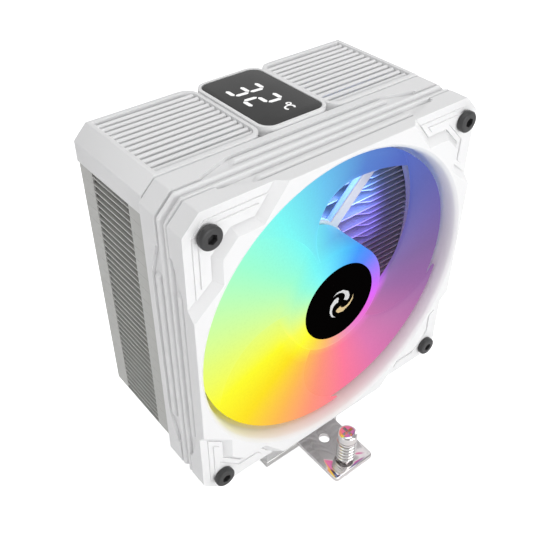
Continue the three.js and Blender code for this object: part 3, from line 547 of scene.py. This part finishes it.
# The square outline with cut corners; each corner is drawn round with a few points.
def octagon(half, cut, radius, steps=3):
    corners = [(-half + cut, -half), (half - cut, -half), (half, -half + cut), (half, half - cut),
               (half - cut, half), (-half + cut, half), (-half, half - cut), (-half, -half + cut)]
    points = []
    for i, corner in enumerate(corners):
        here = Vector(corner)
        back = (Vector(corners[i - 1]) - here).normalized()
        ahead = (Vector(corners[(i + 1) % 8]) - here).normalized()
        reach = radius * math.tan(math.radians(22.5))
        start, end = here + back * reach, here + ahead * reach
        for k in range(steps + 1):
            t = k / steps
            points.append(start * (1 - t) ** 2 + here * 2 * t * (1 - t) + end * t * t)
    return points


# A flat sheet on an outline drawn in (x, z), at one depth, made from a filled ring of points.
def sheet_at(name, points, depth):
    deselect()
    bpy.ops.mesh.primitive_circle_add(vertices=len(points), radius=0.01, fill_type="NGON")
    piece = bpy.context.object
    piece.name = name
    for vertex, (x, z) in zip(piece.data.vertices, points):
        vertex.co = (x, depth, z + fan_z)
    return piece


# Pulls a flat sheet through further depths; each step may grow or shrink it about the centre.
def pull(piece, steps):
    pick(piece)
    edit_all()
    depth = piece.data.vertices[0].co.y
    for next_depth, share in steps:
        bpy.ops.mesh.extrude_region_move(TRANSFORM_OT_translate={"value": (0, next_depth - depth, 0)})
        if share != 1:
            bpy.ops.transform.resize(value=(share, 1, share), center_override=(0, next_depth, fan_z))
        depth = next_depth
    face_out()
    return piece


# Depths behind the corner faces and how far the side lies in there: the rolled ribs and grooves.
side_profile = [(-2.0, 0.4), (-1.8, 0.1), (-1.55, 0.0), (8.1, 0.0), (8.2, 1.5), (8.6, 1.5), (8.75, 0.6),
                (9.0, 0.2), (9.35, 0.0), (9.8, 0.05), (10.2, 0.3), (10.5, 0.75), (10.65, 1.35), (12.0, 1.35),
                (12.1, 0.75), (12.4, 0.3), (12.8, 0.06), (13.3, 0.0), (13.7, 0.14), (14.0, 0.6),
                (14.15, 1.5), (14.5, 1.5), (14.6, 0.0), (22.6, 0.0), (22.9, 0.15), (23.0, 0.3)]
inset_now = side_profile[0][1] * mm
housing = sheet_at("fan_housing", octagon(frame_half - inset_now, frame_cut - 0.59 * inset_now, corner_round),
                   corner_face_y + side_profile[0][0] * mm)
steps = []
for (depth, inset), (_, last) in zip(side_profile[1:], side_profile):
    steps.append((corner_face_y + depth * mm, (frame_half - inset * mm) / (frame_half - last * mm)))
pull(housing, steps)

# the middle of each side: a shallow wedge is cut on both sides of the ribs, and one more rib
# stands in each wedge
for side in range(4):
    turn = Matrix.Translation((0, 0, fan_z)) @ Matrix.Rotation(math.radians(90 * side), 4, "Y") \
        @ Matrix.Translation((0, 0, -fan_z))
    for near, far, edge, rib in ((14.3, 19.7, 15.6, 17.25), (8.5, 3.1, 7.0, 5.45)):
        deselect()
        points = [(-31.4, far), (31.4, far), (43.6, edge), (43.6, near), (-43.6, near), (-43.6, edge)]
        bpy.ops.mesh.primitive_circle_add(vertices=6, radius=0.01, fill_type="NGON")
        wedge = bpy.context.object
        for vertex, (x, depth) in zip(wedge.data.vertices, points):
            vertex.co = (x * mm, corner_face_y + depth * mm, fan_z + frame_half - 1.3 * mm)
        edit_all()
        bpy.ops.mesh.extrude_region_move(TRANSFORM_OT_translate={"value": (0, 0, 3 * mm)})
        face_out()
        wedge.data.transform(turn)
        combine(housing, wedge, "DIFFERENCE")
        rib_y = corner_face_y + rib * mm
        bead = block("bead", (-33 * mm, rib_y - 1.2 * mm, fan_z + frame_half - 1.9 * mm),
                     (33 * mm, rib_y + 1.2 * mm, fan_z + frame_half - 0.02 * mm))
        for vertex in bead.data.vertices:
            if vertex.co.z > fan_z + frame_half - mm:
                vertex.co.x *= 0.94
        ease_edges(bead, 0.75 * mm, 3)
        bead.data.transform(turn)
        combine(housing, bead, "UNION")

# corner fields: the ring slopes down to a stepped line. From there, and from the low outer rim, the
# field rises in two steps to a flat pad that the bolt's head clamps.
field_line = [(25.0, 64.55), (35.9, 51.5), (44.5, 51.5), (51.5, 44.5), (51.5, 35.9), (64.55, 25.0)]
slope_line = [(22.9, 62.8), (34.4, 49.0), (43.5, 49.0), (49.0, 43.5), (49.0, 34.4), (62.8, 22.9)]
rim_line = [(27.0, 57.1), (30, 45), (45, 30), (57.1, 27.0), (57.1, 52.66), (52.66, 57.1)]
pad_line = [(34.85, 55.4), (36.7, 53.2), (45.2, 53.2), (53.2, 45.2), (53.2, 36.7), (55.4, 34.85),
            (55.4, 51.96), (51.96, 55.4)]
field_corner = (66, 66)
cut_line = [(x + 0.01, z + 0.01) for x, z in field_line] + [field_corner]
slope_low, rim_level, ledge_level, pad_level = 1.0, 0.85, 0.35, -0.25


def quarter(points, sx, sz):
    moved = [(sx * x * mm, sz * z * mm) for x, z in points]
    return moved if sx * sz > 0 else moved[::-1]


def prism(name, points, near, far):
    return pull(sheet_at(name, points, corner_face_y + far * mm), [(corner_face_y + near * mm, 1)])


for sx, sz in ((1, 1), (-1, 1), (-1, -1), (1, -1)):
    whole = quarter(field_line + [field_corner], sx, sz)
    combine(housing, prism("field", whole, -5, pad_level), "DIFFERENCE")
    # the slope: a wedge along the stepped line, wide in front and closing to the line behind
    inner, outer = slope_line, [(x + 0.03, z + 0.03) for x, z in field_line]
    strip = quarter(inner + outer[::-1], sx, sz)
    shut = quarter([(x - 0.02, z - 0.02) for x, z in outer] + outer[::-1], sx, sz)
    wedge = prism("slope", strip, -2.001, slope_low)
    for vertex, (x, z) in zip(list(wedge.data.vertices)[:len(shut)], shut):
        vertex.co.x, vertex.co.z = x, z + fan_z
    combine(housing, wedge, "DIFFERENCE")
    for level, line in ((ledge_level, pad_line), (rim_level, rim_line)):
        around = prism("around", quarter(cut_line, sx, sz), -1, level)
        combine(around, prism("kept", quarter(line, sx, sz), -2, level + 1), "DIFFERENCE")
        combine(housing, around, "DIFFERENCE")

# inlet: a rolled mouth that narrows to the duct
mouth = turned("mouth", [(60.2 * mm, 2.6 * mm), (58.9 * mm, 1.95 * mm), (58.1 * mm, 1.4 * mm),
                         (57.6 * mm, 0.6 * mm), (57.25 * mm, -0.8 * mm), (duct_radius, -2.8 * mm),
                         (duct_radius, -24 * mm)], (0, corner_face_y, fan_z), 160, "Y")
combine(housing, mouth, "DIFFERENCE")

# outlet: motor plate with a turned-up edge, its bearing tube, and four struts
motor_plate = turned("motor_plate", [(3.4 * mm, -23 * mm), (21.2 * mm, -23 * mm), (21.5 * mm, -22.7 * mm),
                                     (21.5 * mm, -20.3 * mm), (21.2 * mm, -20 * mm), (4.7 * mm, -20 * mm),
                                     (4.7 * mm, -6.6 * mm), (3.4 * mm, -6.6 * mm)],
                     (0, corner_face_y, fan_z), 64, "Y")
bore = turned("bore", [(3.4 * mm, -24 * mm), (3.4 * mm, -6 * mm)], (0, corner_face_y, fan_z), 48, "Y")
combine(motor_plate, bore, "DIFFERENCE")
for k in range(4):
    strut = block("strut", (20 * mm, fan_rear_y - 3 * mm, fan_z - 2.5 * mm),
                  (58 * mm, fan_rear_y, fan_z + 2.5 * mm))
    ease_edges(strut, 0.5 * mm, 2)
    strut.data.transform(Matrix.Translation((0, 0, fan_z))
                         @ Matrix.Rotation(math.radians(45 + 90 * k), 4, "Y")
                         @ Matrix.Translation((0, 0, -fan_z)))
    combine(housing, strut, "UNION")
combine(housing, motor_plate, "UNION")
for x in (-bolt_offset, bolt_offset):
    for z in (-bolt_offset, bolt_offset):
        hole = turned("hole", [(2.3 * mm, 4 * mm), (2.3 * mm, -26 * mm)],
                      (x, corner_face_y, fan_z + z), 24, "Y")
        combine(housing, hole, "DIFFERENCE")
pick(housing)
edit_all()
bpy.ops.mesh.remove_doubles(threshold=0.000003)
bpy.ops.object.mode_set(mode="OBJECT")
bpy.ops.object.shade_smooth_by_angle(angle=math.radians(34))
weighted = housing.modifiers.new("face_normals", "WEIGHTED_NORMAL")
weighted.keep_sharp = True
weighted.weight = 80
bpy.ops.object.modifier_apply(modifier=weighted.name)
wear(housing, white_plastic)
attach(housing, "tower")
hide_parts("fan_frame")

# ------------------------------------------------------------------ motor
# The parts inside the hub: a drawn steel yoke with a ferrite ring, a ground shaft in an oiled
# bronze sleeve, a wound stator and its ring-shaped circuit board, all hidden by the impeller.

drawn_steel = brushed("drawn_steel", (0.50, 0.50, 0.52, 1), 0.3, (1, 0.1, 1))
ferrite = grained("bonded_ferrite", (0.055, 0.052, 0.05, 1), 0.3, 0.75, 0.1, 1800.0, 90.0, 0.5)
oiled_bronze = grained("oiled_bronze", (0.55, 0.36, 0.17, 1), 0.2, 0.35, 0.15, 2400.0, 150.0, 0.3, 1.0)
solder_mask = grained("solder_mask", (0.02, 0.13, 0.055, 1), 0.15, 0.35, 0.1, 1500.0, 200.0, 0.2)
dark_steel = grained("blackened_clip", (0.05, 0.05, 0.05, 1), 0.2, 0.4, 0.1, 2500.0, 90.0, 0.2)

wound_copper, copper_nodes, copper_links, copper_shader = surface("wound_copper", (0.6, 0.26, 0.1, 1),
                                                                  0.3, 1.0)
copper_place = node(copper_nodes, "ShaderNodeTexCoord")
copper_turns = node(copper_nodes, "ShaderNodeTexWave", bands_direction="Y", in_Scale=700.0, in_Distortion=0.6)
copper_tone = node(copper_nodes, "ShaderNodeValToRGB")
copper_tone.color_ramp.elements[0].color = (0.28, 0.10, 0.04, 1)
copper_tone.color_ramp.elements[1].color = (0.78, 0.38, 0.17, 1)
copper_relief = node(copper_nodes, "ShaderNodeBump", in_Strength=0.6, in_Distance=0.0001)
wire(copper_links, copper_place, "Object", copper_turns, "Vector")
wire(copper_links, copper_turns, "Fac", copper_tone, "Fac")
wire(copper_links, copper_tone, "Color", copper_shader, "Base Color")
wire(copper_links, copper_turns, "Fac", copper_relief, "Height")
wire(copper_links, copper_relief, "Normal", copper_shader, "Normal")

for part, finish in (("rotor_yoke", drawn_steel), ("magnet_ring", ferrite), ("rotor_shaft", drawn_steel),
                     ("sleeve_bearing", oiled_bronze), ("shaft_clip", dark_steel), ("stator", wound_copper),
                     ("fan_board", solder_mask), ("display_board", solder_mask)):
    wear(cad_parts[part], finish)

# ------------------------------------------------------------------ impeller
# Hub and five swept blades, one milky translucent moulding lit from inside by coloured lamps,
# so that it glows in a wheel of colours and hides its own edges.

hub_radius, hub_front_y = 20.6 * mm, -35.5 * mm
blade_root, blade_tip, blade_thickness = 19.9 * mm, 55.2 * mm, 1.0 * mm
blade_front_y = -33.3 * mm
blade_steps = 28

impeller = turned("lit_impeller", [
    (hub_radius - 1.8 * mm, 18.5 * mm), (hub_radius, 18.5 * mm), (hub_radius, 1.6 * mm),
    (hub_radius - 0.12 * mm, 1.0 * mm), (hub_radius - 0.5 * mm, 0.45 * mm),
    (hub_radius - 1.1 * mm, 0.12 * mm),
    (hub_radius - 2.0 * mm, 0.0), (15.7 * mm, 0.0), (15.6 * mm, 0.1 * mm), (15.6 * mm, 0.6 * mm)],
    (0, 0, 0), 128)
# turned() works upwards; the hub's depths count back from its front face
impeller.data.transform(Matrix.Rotation(math.radians(-90), 4, "X"))
impeller.data.transform(Matrix.Translation((0, hub_front_y, fan_z)))
hollow = turned("hollow", [(hub_radius - 1.9 * mm, 25 * mm), (hub_radius - 1.9 * mm, 2.3 * mm)],
                (0, 0, 0), 96)
hollow.data.transform(Matrix.Rotation(math.radians(-90), 4, "X"))
hollow.data.transform(Matrix.Translation((0, hub_front_y, fan_z)))
combine(impeller, hollow, "DIFFERENCE")

# Each blade: its front edge's angle at the root and at the tip, how fast that edge sweeps, and its
# rear edge's angles, in degrees from the right-hand side. Unequal spacing keeps a fan from humming.
blade_angles = [(-22, 60, 0.75, -78, -34), (113, 132, 1.8, 103, 42), (169, 204, 1.8, 78, 108),
                (241, 276, 1.8, 148, 178), (313, 348, 1.8, 218, 250)]
blades = []
for front_root, front_tip, sweep, rear_root, rear_tip in blade_angles:
    deselect()
    bpy.ops.mesh.primitive_grid_add(x_subdivisions=blade_steps, y_subdivisions=blade_steps, size=1)
    blade = bpy.context.object
    for vertex in blade.data.vertices:
        u, v = vertex.co.x + 0.5, vertex.co.y + 0.5
        radius = blade_root + (blade_tip - blade_root) * u
        front = front_root + (front_tip - front_root) * u ** sweep
        angle = math.radians(front + (rear_root + (rear_tip - rear_root) * u - front) * v)
        depth = (14.8 - 12.0 * u ** 2) * mm
        vertex.co = (radius * math.cos(angle), blade_front_y + 0.6 * mm + depth * v ** 1.5,
                     fan_z + radius * math.sin(angle))
    skin = blade.modifiers.new("thickness", "SOLIDIFY")
    skin.thickness = blade_thickness
    skin.offset = 0
    bpy.ops.object.modifier_apply(modifier=skin.name)
    bpy.ops.object.mode_set(mode="EDIT")
    face_out()
    ease_edges(blade, 0.3 * mm, 2, 60, 50)
    blades.append(blade)
deselect()
for blade in blades:
    blade.select_set(True)
impeller.select_set(True)
bpy.context.view_layer.objects.active = impeller
bpy.ops.object.join()
bpy.ops.object.shade_smooth_by_angle(angle=math.radians(50))


def screen(red, green, blue):
    def linear(value):
        value /= 255
        return value / 12.92 if value <= 0.04045 else ((value + 0.055) / 1.055) ** 2.4
    return (linear(red), linear(green), linear(blue), 1)


# Colours of the lamps round the wheel, from the right-hand side anticlockwise.
blade_wheel = [(0, (130, 102, 160)), (20, (112, 100, 170)), (40, (94, 100, 176)), (60, (86, 108, 194)),
               (80, (86, 130, 208)), (100, (104, 196, 240)), (120, (124, 250, 246)), (140, (158, 255, 210)),
               (160, (202, 255, 170)), (180, (232, 254, 118)), (200, (254, 253, 42)), (220, (254, 226, 28)),
               (240, (254, 188, 78)), (260, (254, 148, 122)), (280, (253, 122, 156)), (300, (222, 118, 176)),
               (320, (190, 116, 172)), (340, (156, 108, 166)), (360, (130, 102, 160))]
hub_wheel = [(0, (190, 111, 252)), (20, (146, 125, 253)), (40, (90, 135, 252)), (60, (69, 154, 253)),
             (80, (84, 194, 253)), (100, (105, 226, 254)), (120, (124, 250, 248)), (140, (150, 254, 221)),
             (160, (188, 254, 186)), (180, (222, 254, 144)), (200, (249, 254, 83)), (220, (254, 253, 42)),
             (240, (253, 222, 64)), (260, (254, 186, 109)), (280, (245, 155, 162)), (300, (238, 128, 201)),
             (320, (237, 104, 221)), (340, (228, 100, 252)), (360, (190, 111, 252))]

lamp_glow, glow_nodes, glow_links, glow_shader = surface("lamp_lit_plastic", (0.4, 0.4, 0.4, 1), 0.35)
glow_place = node(glow_nodes, "ShaderNodeTexCoord")
glow_parts = node(glow_nodes, "ShaderNodeSeparateXYZ")
# the lamps sit in front at the upper left, so the colours lean to the lower right with depth
lean_across, lean_up, lean_depth = 1.1, 0.95, 33.5 * mm
glow_depth = node(glow_nodes, "ShaderNodeSeparateXYZ")
wire(glow_links, glow_place, "Object", glow_depth, "Vector")
glow_across_lean = node(glow_nodes, "ShaderNodeMath", operation="MULTIPLY_ADD", in_1=-lean_across,
                         in_2=-lean_across * lean_depth)
glow_up_lean = node(glow_nodes, "ShaderNodeMath", operation="MULTIPLY_ADD", in_1=lean_up,
                     in_2=lean_up * lean_depth)
wire(glow_links, glow_depth, "Y", glow_across_lean, 0)
wire(glow_links, glow_depth, "Y", glow_up_lean, 0)
glow_shift = node(glow_nodes, "ShaderNodeCombineXYZ")
wire(glow_links, glow_across_lean, "Value", glow_shift, "X")
wire(glow_links, glow_up_lean, "Value", glow_shift, "Z")
glow_seen = node(glow_nodes, "ShaderNodeVectorMath", operation="ADD")
wire(glow_links, glow_place, "Object", glow_seen, 0)
wire(glow_links, glow_shift, "Vector", glow_seen, 1)
wire(glow_links, glow_seen, "Vector", glow_parts, "Vector")
glow_up = node(glow_nodes, "ShaderNodeMath", operation="SUBTRACT", in_1=fan_z)
wire(glow_links, glow_parts, "Z", glow_up, 0)
glow_angle = node(glow_nodes, "ShaderNodeMath", operation="ARCTAN2")
wire(glow_links, glow_up, "Value", glow_angle, 0)
wire(glow_links, glow_parts, "X", glow_angle, 1)
glow_turn = node(glow_nodes, "ShaderNodeMath", operation="MULTIPLY_ADD", in_1=1 / (2 * math.pi), in_2=1.0)
wire(glow_links, glow_angle, "Value", glow_turn, 0)
glow_share = node(glow_nodes, "ShaderNodeMath", operation="FRACT")
wire(glow_links, glow_turn, "Value", glow_share, 0)
glow_wheels = []
for wheel in (blade_wheel, hub_wheel):
    ramp = node(glow_nodes, "ShaderNodeValToRGB")
    stops = ramp.color_ramp.elements
    for k, (degrees, colour) in enumerate(wheel):
        stop = stops[0] if k == 0 else stops[-1] if k == len(wheel) - 1 else stops.new(degrees / 360)
        stop.position = degrees / 360
        stop.color = screen(*colour)
    wire(glow_links, glow_share, "Value", ramp, "Fac")
    glow_wheels.append(ramp)
glow_across = node(glow_nodes, "ShaderNodeCombineXYZ")
wire(glow_links, glow_parts, "X", glow_across, "X")
wire(glow_links, glow_up, "Value", glow_across, "Y")
glow_radius = node(glow_nodes, "ShaderNodeVectorMath", operation="LENGTH")
wire(glow_links, glow_across, "Vector", glow_radius, 0)
glow_outside = node(glow_nodes, "ShaderNodeMapRange", in_1=20.7 * mm, in_2=27 * mm)
wire(glow_links, glow_radius, "Value", glow_outside, "Value")
glow_mix = node(glow_nodes, "ShaderNodeMix", data_type="RGBA")
wire(glow_links, glow_outside, "Result", glow_mix, "Factor")
wire(glow_links, glow_wheels[1], "Color", glow_mix, "A")
wire(glow_links, glow_wheels[0], "Color", glow_mix, "B")
glow_grain = node(glow_nodes, "ShaderNodeTexNoise", in_Scale=1500.0, in_Detail=1.0)
wire(glow_links, glow_place, "Object", glow_grain, "Vector")
glow_fleck = node(glow_nodes, "ShaderNodeMapRange", in_3=0.95, in_4=1.05)
wire(glow_links, glow_grain, "Fac", glow_fleck, "Value")
glow_light = node(glow_nodes, "ShaderNodeVectorMath", operation="SCALE")
wire(glow_links, glow_mix, "Result", glow_light, 0)
wire(glow_links, glow_fleck, "Result", glow_light, "Scale")
wire(glow_links, glow_light, "Vector", glow_shader, "Emission Color")
glow_body = node(glow_nodes, "ShaderNodeVectorMath", operation="SCALE", in_Scale=0.02)
wire(glow_links, glow_mix, "Result", glow_body, 0)
wire(glow_links, glow_body, "Vector", glow_shader, "Base Color")
glow_shader.inputs["Emission Strength"].default_value = 0.97
glow_shader.inputs["Specular IOR Level"].default_value = 0.05
wear(impeller, lamp_glow)
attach(impeller, "rotor")
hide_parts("impeller")

# the lamps on the motor plate also light the fins that show between two blades
for name, place, size, power, colour in (("hub_lamp_blue", (22, -15.0, 122), 30, 0.018, (0.12, 0.30, 1)),
                                         ("hub_lamp_violet", (32, -15.0, 102), 20, 0.0035, (0.24, 0.16, 1))):
    start = Vector(place) * mm
    lamp = panel(name, start, start + Vector((0, 0.02, 0)), size * mm, power, colour)
    lamp.visible_camera = False

# ------------------------------------------------------------------ hub badge
# A thin black disc pressed into the hub, with a small plated mark of three curved blades.

badge_radius = 15.3 * mm
badge_black = grained("badge_black", (0.0012, 0.0009, 0.0009, 1), 0.2, 0.6, 0.06, 2600.0, 80.0, 0.08,
                      specular=0.0)
badge = turned("hub_disc", [(badge_radius, -0.25 * mm), (badge_radius, 0.2 * mm),
                            (badge_radius - 0.12 * mm, 0.4 * mm), (badge_radius - 0.4 * mm, 0.5 * mm)],
               (0, hub_front_y, fan_z), 96, "Y")
wear(badge, badge_black)
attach(badge, "rotor")
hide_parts("hub_badge")

mark_gold = brushed("mark_gold", (0.86, 0.66, 0.34, 1), 0.25, (1, 1, 0.1), 0.05, 0.15)
mark_silver = brushed("mark_silver", (0.85, 0.86, 0.86, 1), 0.25, (1, 1, 0.1), 0.05, 0.15)
for k, finish in enumerate((mark_silver, mark_silver, mark_gold)):
    petal = []
    for step in range(9):
        t = step / 8
        petal.append((1.6 + 4.4 * t, 100 * t ** 1.3))
    for step in range(9):
        t = 1 - step / 8
        petal.append((1.6 + 4.4 * t, 100 * t ** 1.3 - 62 * math.sin(math.pi * min(t, 0.93)) - 8))
    spin = 120 * k + 30
    points = [(r * mm * math.cos(math.radians(a + spin)), r * mm * math.sin(math.radians(a + spin)))
              for r, a in petal]
    mark = sheet_at(f"hub_mark_{k + 1}", points, hub_front_y - 0.5 * mm)
    pull(mark, [(hub_front_y - 0.62 * mm, 1)])
    wear(mark, finish)
    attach(mark, "rotor")

# ------------------------------------------------------------------ fan bolts and bracket
# Black oxide screws with button heads and a hexagon socket, one in each corner of the fan.
# The lower two go into a plastic bracket behind the frame, the upper two into the cover.

bolt_radius, bolt_back_y = 3.8 * mm, -35.8 * mm
black_oxide = grained("black_oxide", (0.045, 0.045, 0.046, 1), 0.2, 0.42, 0.12, 2800.0, 200.0, 0.25, 0.3)
for label, sx, sz in (("top_left", -1, 1), ("top_right", 1, 1),
                      ("bottom_left", -1, -1), ("bottom_right", 1, -1)):
    place = (sx * bolt_offset, bolt_back_y, fan_z + sz * bolt_offset)
    bolt = turned(f"corner_bolt_{label}", [
        (1.7 * mm, -27.9 * mm), (2.0 * mm, -27.4 * mm), (2.0 * mm, -0.1 * mm), (bolt_radius - 0.35 * mm, 0.0),
        (bolt_radius - 0.1 * mm, 0.1 * mm), (bolt_radius, 0.35 * mm), (bolt_radius, 1.75 * mm),
        (bolt_radius - 0.1 * mm, 2.0 * mm), (bolt_radius - 0.3 * mm, 2.22 * mm),
        (bolt_radius - 0.6 * mm, 2.34 * mm), (bolt_radius - 1.0 * mm, 2.4 * mm)], place, 64, "Y")
    hexagon = turned("hexagon", [(1.9 * mm, 3.5 * mm), (1.7 * mm, 2.15 * mm), (1.7 * mm, 0.7 * mm)],
                     place, 6, "Y")
    combine(bolt, hexagon, "DIFFERENCE")
    pick(bolt)
    bpy.ops.object.shade_smooth_by_angle(angle=math.radians(35))
    wear(bolt, black_oxide)
    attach(bolt, "tower")
    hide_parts(f"fan_bolt_{label}")
wear(eased("rail_bracket", "fan_bracket", "tower", 0.3 * mm), white_plastic)

# ------------------------------------------------------------------ top cover and grilles
# A white plastic cap over the fins with cut long edges, two raised grille fields and a lower
# middle for the display. The grilles are separate mouldings of round-backed bars.

wear(eased("moulded_cover", "top_cover", "tower", 0.35 * mm, 3), white_plastic)
for side in ("left", "right"):
    wear(eased(f"barred_{side}", f"grille_{side}", "tower", 0.35 * mm, 3),
         white_plastic)

# ------------------------------------------------------------------ display
# A white rounded bezel round a smoked glass, with a seven-segment temperature reading lit from
# the circuit board below. The figures read from the fan's right-hand side.

bezel = eased("moulded_bezel", "display_bezel", "tower", 0.3 * mm, 3)
wear(bezel, white_plastic)
glass = eased("smoked_window", "display_glass", "tower", 0.25 * mm, 3)
smoked_glass, smoke_nodes, smoke_links, smoke_shader = surface("smoked_glass", (0.07, 0.07, 0.072, 1), 0.16)
smoke_place = node(smoke_nodes, "ShaderNodeTexCoord")
smoke_cloud = node(smoke_nodes, "ShaderNodeTexNoise", in_Scale=120.0, in_Detail=2.0)
smoke_tone = node(smoke_nodes, "ShaderNodeMapRange", in_3=0.035, in_4=0.05)
wire(smoke_links, smoke_place, "Object", smoke_cloud, "Vector")
wire(smoke_links, smoke_cloud, "Fac", smoke_tone, "Value")
wire(smoke_links, smoke_tone, "Result", smoke_shader, "Base Color")
wear(glass, smoked_glass)

glass_top_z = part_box("display_glass")[1].z
figure_lean = 0.09
figure_wide, figure_high, figure_stroke = 5.2, 11.4, 1.45
lit_segment, segment_nodes, segment_links, segment_shader = surface("lit_segment", (0.5, 0.5, 0.5, 1), 0.4)
segment_place = node(segment_nodes, "ShaderNodeTexCoord")
segment_cloud = node(segment_nodes, "ShaderNodeTexNoise", in_Scale=900.0)
segment_tone = node(segment_nodes, "ShaderNodeMapRange", in_3=0.66, in_4=0.78)
wire(segment_links, segment_place, "Object", segment_cloud, "Vector")
wire(segment_links, segment_cloud, "Fac", segment_tone, "Value")
wire(segment_links, segment_tone, "Result", segment_shader, "Emission Color")
segment_shader.inputs["Emission Strength"].default_value = 0.8


# One segment: a flat hexagon from a to b, in the figures' own right and up directions.
def segment(name, a, b, stroke, origin):
    a, b = Vector(a), Vector(b)
    along = (b - a).normalized()
    across = Vector((-along.y, along.x)) * stroke / 2
    tip = along * stroke / 2
    outline = [a, a + tip + across, b - tip + across, b, b - tip - across, a + tip - across]
    deselect()
    bpy.ops.mesh.primitive_circle_add(vertices=6, radius=0.001, fill_type="NGON")
    piece = bpy.context.object
    piece.name = name
    for vertex, point in zip(piece.data.vertices, outline):
        right = point.x + figure_lean * point.y
        vertex.co = ((origin[0] + point.y) * mm, (origin[1] - right) * mm, glass_top_z + 0.005 * mm)
    edit_all()
    bpy.ops.mesh.extrude_region_move(TRANSFORM_OT_translate={"value": (0, 0, 0.05 * mm)})
    face_out()
    wear(piece, lit_segment)
    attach(piece, "tower")


w, h, g = figure_wide, figure_high, 0.35
ends = {"top": ((g, h), (w - g, h)), "middle": ((g, h / 2), (w - g, h / 2)), "bottom": ((g, 0), (w - g, 0)),
        "right_top": ((w, h / 2 + g), (w, h - g)), "right_low": ((w, g), (w, h / 2 - g)),
        "left_low": ((0, g), (0, h / 2 - g))}
for label, lit, origin in (
        ("three", ("top", "middle", "bottom", "right_top", "right_low"), (-7.0, 18.0)),
        ("two", ("top", "middle", "bottom", "right_top", "left_low"), (-7.0, 8.3))):
    for place in lit:
        segment(f"figure_{label}_{place}", *ends[place], figure_stroke, origin)

# degree ring and C, small and printed on the same glass
for name, middle, radius, sweep, start in (("degree_ring", (3.6, -2.2), 0.75, 360, 0),
                                           ("degree_letter", (2.2, -4.5), 1.35, 270, 45)):
    deselect()
    count = 24
    inner, outer = radius - 0.3, radius + 0.3
    bpy.ops.mesh.primitive_grid_add(x_subdivisions=count, y_subdivisions=1, size=1)
    arc = bpy.context.object
    arc.name = name
    for vertex in arc.data.vertices:
        t, across = vertex.co.x + 0.5, vertex.co.y + 0.5
        angle = math.radians(start + sweep * t)
        reach = inner + (outer - inner) * across
        right, up = reach * math.cos(angle), reach * math.sin(angle) * (1.25 if sweep < 360 else 1)
        vertex.co = ((middle[0] + up) * mm, (middle[1] - right) * mm, glass_top_z + 0.005 * mm)
    thick = arc.modifiers.new("thickness", "SOLIDIFY")
    thick.thickness = 0.05 * mm
    thick.offset = 1
    bpy.ops.object.modifier_apply(modifier=thick.name)
    edit_all()
    bpy.ops.mesh.remove_doubles(threshold=0.000002)
    bpy.ops.mesh.normals_make_consistent(inside=False)
    bpy.ops.object.mode_set(mode="OBJECT")
    wear(arc, lit_segment)
    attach(arc, "tower")
